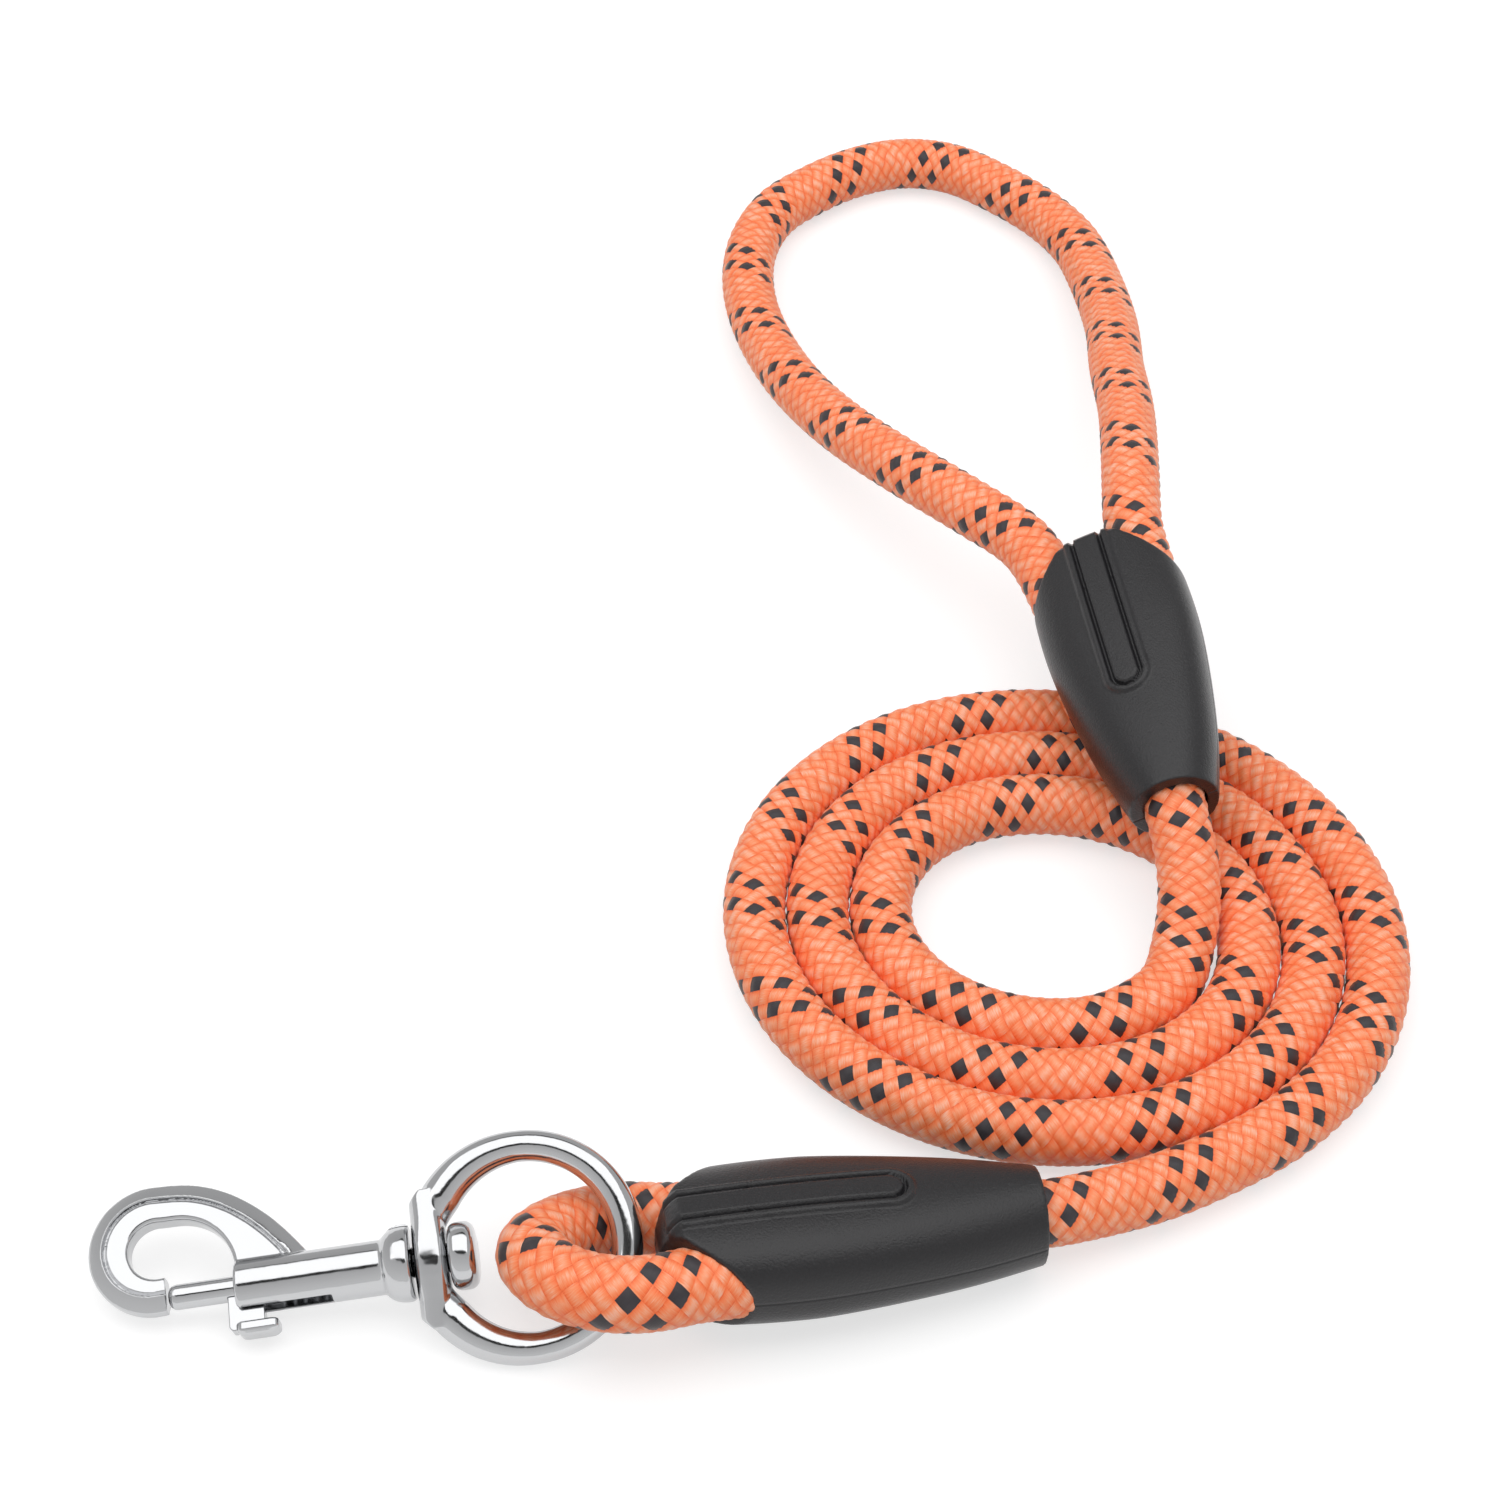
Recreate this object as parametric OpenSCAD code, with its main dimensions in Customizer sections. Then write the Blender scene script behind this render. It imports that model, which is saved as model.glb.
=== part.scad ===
// Rope dog lead, laid out in a flat coil: braided rope with an eye at each end,
// two moulded sleeves over the crimped joins, and a swivel bolt snap on a ring.
// Millimetres, +Z up, the floor is Z = 0.

/* [Rope] */
// Diameter of the rope
rope_d = 11.5; // [8:0.5:12]
// Gap between neighbouring turns of the coil
coil_gap = 0.5; // [0.5:0.1:3]
// Centre-line radius of the outermost turn
coil_r = 60.4; // [56:0.2:66]
// How much the coil is longer than it is wide, as a radius
coil_oval = 1.5; // [0:0.1:2]
// Length of the melted, sealed tip of each rope end
seal_len = 3; // [1:0.5:5]

/* [Sleeves] */
// Length of a moulded sleeve
sleeve_len = 64; // [61:1:72]
// Wall of a sleeve round the single rope, at its narrow end
sleeve_wall = 2.95; // [1.8:0.1:4]
// Half width of a sleeve over its two ropes
sleeve_half_w = 15.8; // [15.6:0.1:18]
// Half height of a sleeve over its two ropes
sleeve_half_h = 9.9; // [9:0.1:12]
// Distance from a sleeve's centre line to either rope in its wide end
leg_y = 8.5; // [7:0.1:8.6]
// Clearance round a rope in its sleeve
rope_clear = 0.3; // [0.1:0.05:0.6]
// Height of the raised tongue on a sleeve
tongue_h = 0.8; // [0.3:0.1:1.5]
// Width of the raised tongue
tongue_w = 9.6; // [6:0.2:12]
// Length of the raised tongue from the wide end
tongue_len = 42; // [30:1:48]
// Width of the tongue's raised rim
tongue_rim = 1.5; // [1:0.1:2]
// Width of the groove between the tongue's rim and its middle
tongue_groove = 0.8; // [0.4:0.1:1.5]

/* [Crimps] */
// Length of a crimp along the rope
crimp_len = 8; // [4:0.5:10]
// Thickness of a crimp
crimp_wall = 0.9; // [0.5:0.1:1]
// Gap between the two ropes in a crimp
crimp_gap = 0.7; // [0.6:0.1:1]
// Clearance between a crimp and the ropes or the sleeve
crimp_clear = 0.15; // [0.05:0.05:0.3]

/* [Ring] */
// Centre-line radius of the ring
ring_r = 17.4; // [16:0.1:19]
// Diameter of the ring's wire
ring_wire = 4.8; // [4:0.1:5]
// Thickness of the collar block, along the swivel axis
collar_t = 5.9; // [4.5:0.1:7]
// Length of the collar block across the ring
collar_len = 24; // [20:0.5:26]
// Height of the collar block, square to the ring
collar_h = 9; // [8:0.1:11]
// Diameter of the collar's round hub, about the swivel axis
hub_d = 10.4; // [9.4:0.1:12]
// Gap between the ring and the wide end of the sleeve that its rope eye comes out of
ring_gap = 4.8; // [3:0.1:8]

/* [Swivel] */
// Diameter of the rivet's shank
shank_d = 5; // [4:0.1:6]
// Diameter of the rivet's head
head_d = 11.8; // [9:0.1:13]
// Length of the rivet's head
head_len = 4.6; // [3:0.1:5.4]
// Gap on each side of the collar
swivel_gap = 0.35; // [0.3:0.05:0.6]
// Radial clearance of the shank in the collar
running_fit = 0.05; // [0.02:0.01:0.1]
// How far the shank goes into the snap
shank_grip = 6; // [4:0.5:7]

/* [Snap] */
// Length of the barrel and flange
barrel_len = 30.4; // [28:0.2:34]
// Diameter of the barrel
barrel_d = 9.5; // [8.5:0.1:10.5]
// Diameter of the flange against the collar
flange_d = 13.2; // [11:0.1:15]
// Length of the flange's flare
flange_len = 6; // [4:0.1:8]
// Opening from the barrel's mouth to the hook's nose
gate = 12.1; // [11:0.1:13]
// Thickness of the hook, square to its plane
hook_t = 5.6; // [4.5:0.1:6.5]
// Radius of the bend that a collar's ring sits in
hook_bend_r = 5; // [4.5:0.1:6]
// Width of the hook's band round the bend
hook_band = 6.5; // [5.5:0.1:7.5]
// Bevel round the hook's eye, on both faces
eye_bevel = 1; // [0.4:0.1:1.6]

/* [Bolt] */
// Diameter of the sliding bolt
bolt_d = 4.4; // [4:0.1:4.8]
// Length of the sliding bolt
bolt_len = 19; // [18.5:0.1:19.5]
// Travel of the bolt from shut to open
bolt_travel = 11.5; // [10:0.1:12]
// Gap between the shut bolt and the nose
nose_gap = 0.3; // [0.2:0.05:0.6]
// Metal left between the barrel's bore and the rivet's shank
bore_end = 1.6; // [1:0.1:2]
// Thickness of the thumb knob's stem, across the slot
stem_t = 2.6; // [2:0.1:3]
// Width of the stem, along the bolt
stem_w = 6.2; // [5:0.1:7]
// Clearance on each side of the stem in the slot
slot_clear = 0.2; // [0.1:0.05:0.4]
// Distance from the bolt's axis to the outer face of the knob
knob_reach = 9; // [7.5:0.1:9.2]
// Thickness of the knob's pad
knob_t = 2.4; // [1.5:0.1:2.6]
// Length of the knob's pad, along the bolt
knob_len = 7.2; // [6:0.1:9]
// Width of the knob's pad
knob_w = 4.6; // [3:0.1:4.8]
// Wire diameter of the bolt's spring
spring_wire = 0.6; // [0.4:0.05:0.7]
// Turns of the bolt's spring
spring_turns = 5; // [4:1:6]

/* [Hidden] */
$fn = 48;

rope_r = rope_d / 2;
small = 0.01;

// Shift from the layout's own zero to the middle of the hardware's footprint
set_out = [11.5, 60.7, 0];

// Where each rigid group lies in the layout: [origin, yaw, climb of +X, roll about +X]
HOOK_SLEEVE_AT = [[50, -124.4, 9.3], 188.6, 2.7, 10];
HANDLE_SLEEVE_AT = [[80.7, -36, 20.6], 99.5, 5.8, -24];
RING_AT = [[-38.2, -132.9, 11.7], 5.8, 6, 30];

// The snap is turned on its swivel, so that its hook lies flatter than the ring
snap_turn = -12;
SNAP_AT = [RING_AT[0], RING_AT[1], RING_AT[2], RING_AT[3] + snap_turn];

// ---- placing and sweeping ------------------------------------------------------------------

function turn_x(p, a) = [p.x, p.y * cos(a) - p.z * sin(a), p.y * sin(a) + p.z * cos(a)];
function turn_y(p, a) = [p.x * cos(a) + p.z * sin(a), p.y, p.z * cos(a) - p.x * sin(a)];
function turn_z(p, a) = [p.x * cos(a) - p.y * sin(a), p.x * sin(a) + p.y * cos(a), p.z];
function placed(p, at) = set_out + at[0] + turn_z(turn_y(turn_x(p, at[3]), -at[2]), at[1]);

module place(at) {
    translate(set_out + at[0]) rotate([at[3], -at[2], at[1]]) children();
}

// Direction of a route at point i: along the chord of its neighbours, or of its end segment
function heading(route, i) =
    let (a = route[max(i - 1, 0)], b = route[min(i + 1, len(route) - 1)]) (b - a) / norm(b - a);

// One ring of a swept tube, square to the heading, with a corner at the very top
function ring(centre, along, r, sides) =
    let (side = cross(along, [0, 0, 1]) / norm(cross(along, [0, 0, 1])),
         up = cross(side, along))
    [for (k = [0 : sides - 1])
        centre + r * (sin(k * 360 / sides) * side + cos(k * 360 / sides) * up)];

// Tube of triangles along a route; only the rings from first to last are drawn
module tube(route, r, sides, first = 0, last = -1) {
    end = last < 0 ? len(route) - 1 : last;
    rings = end - first + 1;
    points = [for (i = [first : end]) each ring(route[i], heading(route, i), r, sides)];
    walls = [for (i = [0 : rings - 2], k = [0 : sides - 1])
        let (a = i * sides + k, b = i * sides + (k + 1) % sides)
        each [[a, a + sides, b], [b, a + sides, b + sides]]];
    start_cap = [for (k = [1 : sides - 2]) [0, k, k + 1]];
    end_cap = [for (k = [1 : sides - 2])
        [(rings - 1) * sides, (rings - 1) * sides + k + 1, (rings - 1) * sides + k]];
    polyhedron(points, concat(walls, start_cap, end_cap));
}

// ---- rope routes ---------------------------------------------------------------------------
// Free rope on the floor is written as [x, y, lift], the lift of its underside off the floor

function laid(points) = [for (p = points) set_out + [p.x, p.y, p.z + rope_r]];

tube_sides = 10;

// Inside a sleeve, in the sleeve's own frame: +X runs from the narrow end to the wide one
wide_x = norm(RING_AT[0] - HOOK_SLEEVE_AT[0]) - ring_r - ring_wire / 2 - ring_gap;
narrow_x = wide_x - sleeve_len;
exit_x = wide_x - 15;
crimp_x = wide_x - 30;
crimp_y = rope_r + crimp_gap / 2;
crimp_from = crimp_x - crimp_len / 2;
crimp_to = crimp_x + crimp_len / 2;

// The rope swings from the middle to one side of the sleeve before the crimp, and opens out after it
function swing_y(x) = let (u = (x - narrow_x) / (crimp_from - narrow_x)) -crimp_y * u * u * (3 - 2 * u);
run_points = concat(
    [for (i = [0 : 5]) let (x = narrow_x + (crimp_from - narrow_x) * i / 5) [x, swing_y(x), 0]],
    [[crimp_to, -crimp_y, 0], [exit_x - 5, -(crimp_y + leg_y) / 2, 0], [exit_x, -leg_y, 0]]);
tail_points = [[exit_x, leg_y, 0], [exit_x - 5, (crimp_y + leg_y) / 2, 0], [crimp_to, crimp_y, 0],
               [crimp_from, crimp_y, 0], [crimp_from - 3, crimp_y, 0]];
tail_tip = [crimp_from - 3 - seal_len, crimp_y, 0];

// Rope eye that holds the ring: out of the sleeve on the far side, round, and back on the near side
hook_eye_points = [[-10, -124.6, 2.1], [-16, -124.2, 1.1], [-22, -123.4, 0.4],
                   [-28, -124.6, 0.6], [-33.5, -128, 2.1], [-37.2, -133.7, 4.6],
                   [-34.5, -140, 7.2], [-28.8, -144.4, 8.8], [-22, -146, 9.2],
                   [-16, -145.5, 8.9], [-9.5, -143.2, 8]];

// From the hook sleeve's narrow end to the coil
lead_near = placed([narrow_x - 12, -2.3, -1], HOOK_SLEEVE_AT);
coil_lead_points = [[72, -116.3, 0.5], [82.5, -110.8, 0]];

// From the coil's inner end up to the handle sleeve's narrow end
coil_rise_points = [[78.2, -69.4, 0.4], [80.5, -63, 2], [82.7, -53.5, 5.8]];
rise_near = placed([narrow_x - 8.6, 1.1, -3.6], HANDLE_SLEEVE_AT);

// Handle loop: out of the sleeve on the right, round the back, and in again on the left
handle_loop_points = [[77.5, 32, 25.3], [78, 44, 25.5], [79, 59, 23.8], [80, 76.5, 20.2],
                      [80, 96.5, 15.2], [81, 118, 9.7], [80, 140, 4.5], [77, 160, 1.3],
                      [73.5, 169, 0.4], [68, 177.5, 0], [58.5, 187, 0], [48.5, 194.5, 0],
                      [36.5, 196.5, 0], [24, 192, 0], [14.5, 185, 0], [6.5, 177, 0],
                      [1.5, 166, 0], [-0.5, 153.5, 0], [0.5, 138, 0.5], [4.5, 120.5, 2.4],
                      [11, 102, 5.5], [20.5, 83, 9.6], [33.5, 64, 13.8], [46.5, 48, 16.6], [57, 35.5, 17.4]];

function sleeve_run(at) = [for (p = run_points) placed(p, at)];
function sleeve_tail(at) = [for (p = tail_points) placed(p, at)];

// Whole routes of both rope ends; each drawn stretch is a slice of one of them
hook_route = concat([lead_near], sleeve_run(HOOK_SLEEVE_AT),
                    laid(hook_eye_points), sleeve_tail(HOOK_SLEEVE_AT));
handle_route = concat([rise_near], sleeve_run(HANDLE_SLEEVE_AT),
                      laid(handle_loop_points), sleeve_tail(HANDLE_SLEEVE_AT));
run_first = 1;
run_last = run_first + len(run_points) - 1;
hook_tail_first = run_last + len(hook_eye_points) + 1;
hook_tail_last = hook_tail_first + len(tail_points) - 1;
handle_tail_first = run_last + len(handle_loop_points) + 1;
handle_tail_last = handle_tail_first + len(tail_points) - 1;

// ---- coil ----------------------------------------------------------------------------------

coil_middle = [56.4, -53.4, 0];
coil_centre = set_out + coil_middle;
coil_from = -50;
coil_to = 1005;
coil_step = 15;
coil_sides = 6;
coil_oval_turn = -21;
coil_pitch = rope_d + coil_gap;

function coil_radius(a) = coil_r - coil_pitch * a / 360 + coil_oval * cos(2 * (a - coil_oval_turn));
function coil_point(a) = [coil_centre.x + coil_radius(a) * cos(a),
                          coil_centre.y + coil_radius(a) * sin(a), rope_r];

// Each end runs straight for one rope diameter, along a chord of the next stretch of the spiral
function straight_turn(a) = 2 * asin(rope_r / coil_radius(a));
coil_start = coil_from - straight_turn(coil_from);
coil_end = coil_to + straight_turn(coil_to);
coil_route = concat([coil_point(coil_start)],
                    [for (a = [coil_from : coil_step : coil_to]) coil_point(a)],
                    [coil_point(coil_end)]);

coil_last = len(coil_route) - 1;

// The stretches that run on from the coil keep its end's direction over their first points
lead_route = concat([hook_route[2], hook_route[1], lead_near], laid(coil_lead_points),
                    [coil_route[0] - 0.2 * (coil_route[1] - coil_route[0]), coil_route[0], coil_route[1]]);
rise_route = concat([coil_route[coil_last - 1], coil_route[coil_last],
                     coil_route[coil_last] + 0.2 * (coil_route[coil_last] - coil_route[coil_last - 1])],
                    laid(coil_rise_points), [rise_near, handle_route[1], handle_route[2]]);

turn_rings = 360 / coil_step;
coil_least_gap = min([for (i = [1 : len(coil_route) - 2], j = [i + turn_rings - 4 : i + turn_rings + 4])
    if (j < len(coil_route)) norm(coil_route[i] - coil_route[j])]) - rope_d;
echo(str("rope_coil: least gap between its turns is ", coil_least_gap, " mm"));

// ---- sleeves -------------------------------------------------------------------------------

narrow_r = rope_r + sleeve_wall;

// Stations along a sleeve: [x, half width, half height]
function station(along, across, up, grow) =
    [narrow_x + sleeve_len * along, sleeve_half_w * across + grow, sleeve_half_h * up + grow];
function sleeve_stations(grow) = [
    [narrow_x, narrow_r + grow, narrow_r + grow],
    station(0.18, 0.75, 0.95, grow), station(0.42, 0.9, 0.98, grow), station(0.64, 1, 1, grow),
    station(0.85, 0.99, 0.96, grow), station(1, 0.925, 0.9, grow)];

module sleeve_form(grow = 0) {
    hull() for (s = sleeve_stations(grow), side = [-1, 1])
        translate([s.x, side * (s.y - s.z), 0]) rotate([0, 90, 0])
            cylinder(r = s.z, h = small, $fn = 32);
}

module tongue_shape(inset) {
    half = tongue_w / 2 - inset;
    tongue_nose_x = wide_x - tongue_len + tongue_w / 2;
    translate([tongue_nose_x, 0]) circle(r = half);
    translate([tongue_nose_x, -half]) square([sleeve_len, 2 * half]);
}

// The edge of the wide end falls back on both sides, where the ropes leave it
module mouth_corners() {
    back = sleeve_len * 0.19;
    ridge = sleeve_half_w * 0.28;
    for (side = [-1, 1])
        linear_extrude(height = 4 * sleeve_half_h, center = true)
            polygon([[wide_x + 1, side * ridge], [wide_x - back, side * (sleeve_half_w + 1)],
                     [wide_x + 1, side * (sleeve_half_w + 1)]]);
}

module crimp_outline(grow) {
    for (side = [-1, 1]) translate([0, side * crimp_y]) circle(r = rope_r + grow);
    translate([-(rope_r + grow), -crimp_y]) square([2 * (rope_r + grow), 2 * crimp_y]);
}

module crimp_block(grow, length) {
    translate([crimp_x - length / 2, 0, 0]) rotate([0, 90, 0])
        linear_extrude(height = length) crimp_outline(grow);
}

module sleeve(at, route, tail_first, tail_last) {
    hole_r = rope_r + rope_clear;
    difference() {
        place(at) difference() {
            union() {
                sleeve_form();
                intersection() {
                    sleeve_form(tongue_h);
                    linear_extrude(height = 2 * sleeve_half_h) {
                        difference() {
                            tongue_shape(0);
                            tongue_shape(tongue_rim);
                        }
                        tongue_shape(tongue_rim + tongue_groove);
                    }
                }
            }
            mouth_corners();
            crimp_block(crimp_wall + 2 * crimp_clear, crimp_len + 2 * crimp_clear);
        }
        tube(route, hole_r, tube_sides, run_first - 1, run_last + 2);
        tube(route, hole_r, tube_sides, tail_first - 2, tail_last);
        place(at) translate([tail_tip.x - crimp_clear, crimp_y, 0]) rotate([0, 90, 0])
            cylinder(r = hole_r + 0.4, h = seal_len + 1);
    }
}

module crimp(at) {
    place(at) difference() {
        crimp_block(crimp_wall + crimp_clear, crimp_len);
        crimp_block(crimp_clear, crimp_len + 1);
    }
}

module tail_seal(at) {
    place(at) translate(tail_tip) rotate([0, 90, 0])
        cylinder(r1 = rope_r - 1, r2 = rope_r - 0.2, h = seal_len);
}

module hook_sleeve() {
    color("#2b2a2c") sleeve(HOOK_SLEEVE_AT, hook_route, hook_tail_first, hook_tail_last);
}

module handle_sleeve() {
    color("#2b2a2c") sleeve(HANDLE_SLEEVE_AT, handle_route, handle_tail_first, handle_tail_last);
}

module hook_crimp() {
    color("silver") crimp(HOOK_SLEEVE_AT);
}

module handle_crimp() {
    color("silver") crimp(HANDLE_SLEEVE_AT);
}

module hook_tail_seal() {
    color("#3a2018") tail_seal(HOOK_SLEEVE_AT);
}

module handle_tail_seal() {
    color("#3a2018") tail_seal(HANDLE_SLEEVE_AT);
}

// ---- rope ----------------------------------------------------------------------------------

module rope_hook_eye() {
    color("#ff8550") tube(hook_route, rope_r, tube_sides, run_last, hook_tail_first);
}

module rope_hook_run() {
    color("#ff8550") tube(hook_route, rope_r, tube_sides, run_first, run_last);
}

module rope_hook_tail() {
    color("#ff8550") tube(hook_route, rope_r, tube_sides, hook_tail_first, hook_tail_last);
}

module rope_coil_lead() {
    color("#ff8550") tube(lead_route, rope_r, tube_sides, 1, len(lead_route) - 2);
}

module rope_coil() {
    color("#ff8550") tube(coil_route, rope_r, coil_sides);
}

module rope_coil_rise() {
    color("#ff8550") tube(rise_route, rope_r, tube_sides, 1, len(rise_route) - 2);
}

module rope_handle_run() {
    color("#ff8550") tube(handle_route, rope_r, tube_sides, run_first, run_last);
}

module rope_handle_loop() {
    color("#ff8550") tube(handle_route, rope_r, tube_sides, run_last, handle_tail_first);
}

module rope_handle_tail() {
    color("#ff8550") tube(handle_route, rope_r, tube_sides, handle_tail_first, handle_tail_last);
}

// ---- ring and swivel -----------------------------------------------------------------------
// Ring's and snap's frames: origin at the ring's centre, +X along the swivel axis away from the
// hook, Z square to the plane of the ring, or of the hook

collar_x = -(ring_r - 1);
flange_x = collar_x - collar_t / 2 - swivel_gap;
head_x = collar_x + collar_t / 2 + swivel_gap;
collar_chamfer = 2.2;

module collar_outline() {
    half = collar_len / 2;
    polygon([[-collar_t / 2, -half + collar_chamfer], [-collar_t / 2, half - collar_chamfer],
             [-collar_t / 2 + collar_chamfer, half], [collar_t / 2, half],
             [collar_t / 2, -half], [-collar_t / 2 + collar_chamfer, -half]]);
}

module swivel_ring() {
    arc_to = acos((collar_x + collar_t / 4) / ring_r);
    color("#d9dcdf") place(RING_AT) difference() {
        union() {
            rotate([0, 0, -arc_to]) rotate_extrude(angle = 2 * arc_to, $fn = 96)
                translate([ring_r, 0]) circle(d = ring_wire);
            translate([collar_x, 0, 0]) linear_extrude(height = collar_h, center = true)
                collar_outline();
            translate([collar_x - collar_t / 2, 0, 0]) rotate([0, 90, 0])
                cylinder(d = hub_d, h = collar_t);
        }
        translate([collar_x - collar_t, 0, 0]) rotate([0, 90, 0])
            cylinder(d = shank_d + 2 * running_fit, h = 2 * collar_t);
    }
}

module swivel_rivet() {
    shank_from = flange_x - shank_grip;
    edge = 1.4;
    color("#cfd2d5") place(SNAP_AT) {
        translate([shank_from, 0, 0]) rotate([0, 90, 0])
            cylinder(d = shank_d, h = head_x - shank_from + small);
        translate([head_x, 0, 0]) rotate([0, 90, 0]) rotate_extrude() {
            square([head_d / 2 - edge, head_len]);
            translate([0, edge]) square([head_d / 2, head_len - 2 * edge]);
            for (z = [edge, head_len - edge]) translate([head_d / 2 - edge, z]) circle(r = edge);
        }
    }
}

// ---- snap ----------------------------------------------------------------------------------

mouth_x = flange_x - barrel_len;
bore_depth = barrel_len - shank_grip - bore_end;
nose_x = mouth_x - gate;
bend_c = [nose_x - 1.1, hook_bend_r + 3.3];
outer_c = bend_c + [-0.6, 0.4];
outer_r = hook_bend_r + hook_band;
lobe_c = [mouth_x - 10.1, bend_c.y - 5.2];
lobe_r = hook_bend_r + 5.1;

module hook_outline() {
    spine_top = outer_c.y + outer_r;
    difference() {
        union() {
            translate(outer_c) circle(r = outer_r);
            polygon([[outer_c.x, outer_c.y - outer_r], [nose_x, outer_c.y - outer_r],
                     [nose_x, 4.3], [mouth_x - 0.3, 4.3], [mouth_x + 0.5, 3.4],
                     [mouth_x + 0.5, 1.5], [mouth_x + 12.4, 1.5],
                     [mouth_x + 12.8, barrel_d / 2 - 0.3], [mouth_x + 8.1, spine_top - 10],
                     [mouth_x + 3.6, spine_top - 5.7], [mouth_x - 0.5, spine_top - 3],
                     [mouth_x - 6.5, spine_top - 0.5], [outer_c.x, spine_top]]);
        }
        translate([nose_x, -barrel_d]) square([gate + 0.3, barrel_d + 4]);
    }
}

// Round hole with both rims bevelled
module eye_hole(c, r) {
    half = hook_t / 2;
    translate([c.x, c.y, 0]) rotate_extrude()
        polygon([[0, -half - 1], [r + eye_bevel + 1, -half - 1], [r, eye_bevel - half],
                 [r, half - eye_bevel], [r + eye_bevel + 1, half + 1], [0, half + 1]]);
}

module eye() {
    eye_hole(bend_c, hook_bend_r);
    intersection() {
        eye_hole(lobe_c, lobe_r);
        translate([bend_c.x + 0.3, bend_c.y - hook_bend_r + 0.2, -hook_t])
            cube([2 * gate, 3 * hook_bend_r, 2 * hook_t]);
    }
}

module snap_body() {
    slot_end = mouth_x + stem_w - 1.6 + bolt_travel + slot_clear;
    bore_r = bolt_d / 2 + running_fit;
    color("#d9dcdf") place(SNAP_AT) difference() {
        union() {
            difference() {
                linear_extrude(height = hook_t, center = true) hook_outline();
                eye();
            }
            translate([mouth_x, 0, 0]) rotate([0, 90, 0]) cylinder(d = barrel_d, h = barrel_len);
            translate([flange_x, 0, 0]) rotate([0, -90, 0]) rotate_extrude()
                polygon([[0, 0], [flange_d / 2 - 0.8, 0], [flange_d / 2, 1], [flange_d / 2 - 0.3, 2.4],
                         [barrel_d / 2 + 0.9, flange_len * 0.65], [barrel_d / 2 - 0.2, flange_len],
                         [0, flange_len]]);
        }
        translate([mouth_x - small, 0, 0]) rotate([0, 90, 0]) cylinder(r = bore_r, h = bore_depth);
        translate([flange_x - shank_grip - 0.1, 0, 0]) rotate([0, 90, 0])
            cylinder(d = shank_d, h = shank_grip + 1);
        translate([mouth_x - 1, -barrel_d, -stem_t / 2 - slot_clear])
            cube([slot_end - mouth_x + 1, barrel_d, stem_t + 2 * slot_clear]);
    }
}

// ---- bolt, knob and spring -----------------------------------------------------------------

bolt_x = nose_x + nose_gap;
stem_x = mouth_x - 1.6;
seat_y = bolt_d / 2 - 0.5;
pin_d = 1.6;

module bolt() {
    color("#cfd2d5") place(SNAP_AT) difference() {
        translate([bolt_x, 0, 0]) rotate([0, 90, 0]) cylinder(d = bolt_d, h = bolt_len);
        translate([stem_x, -bolt_d - seat_y, -bolt_d / 2]) cube([stem_w, bolt_d, bolt_d]);
        translate([stem_x + stem_w / 2, 0, 0]) rotate([90, 0, 0]) cylinder(d = pin_d, h = bolt_d);
    }
}

module thumb_knob() {
    pad_x = stem_x + 1.4;
    color("#d9dcdf") place(SNAP_AT) {
        translate([stem_x, -knob_reach + knob_t / 2, -stem_t / 2])
            cube([stem_w, knob_reach - knob_t / 2 - seat_y, stem_t]);
        translate([stem_x + stem_w / 2, -seat_y - 1, 0]) rotate([-90, 0, 0])
            cylinder(d = pin_d, h = seat_y + 0.9);
        translate([pad_x, -knob_reach, 0]) rotate([-90, 0, 0]) linear_extrude(height = knob_t)
            polygon([[0.7, -knob_w / 2], [knob_len - 0.7, -knob_w / 2], [knob_len, -knob_w / 2 + 0.7],
                     [knob_len, knob_w / 2 - 0.7], [knob_len - 0.7, knob_w / 2], [0.7, knob_w / 2],
                     [0, knob_w / 2 - 0.7], [0, -knob_w / 2 + 0.7]]);
    }
}

module bolt_spring() {
    from_x = bolt_x + bolt_len + spring_wire / 2 + 0.1;
    to_x = mouth_x + bore_depth - spring_wire / 2 - 0.1;
    coil_mid_r = bolt_d / 2 - spring_wire / 2 - 0.15;
    steps = 8 * spring_turns;
    route = [for (i = [0 : steps]) [from_x + (to_x - from_x) * i / steps,
                                   coil_mid_r * cos(i * 45), coil_mid_r * sin(i * 45)]];
    color("#a9acb0") place(SNAP_AT) tube(route, spring_wire / 2, 6);
}

hook_sleeve();
handle_sleeve();
hook_crimp();
handle_crimp();
rope_hook_eye();
rope_hook_run();
rope_hook_tail();
hook_tail_seal();
rope_coil_lead();
rope_coil();
rope_coil_rise();
rope_handle_run();
rope_handle_loop();
rope_handle_tail();
handle_tail_seal();
swivel_ring();
snap_body();
swivel_rivet();
bolt();
thumb_knob();
bolt_spring();
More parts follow.
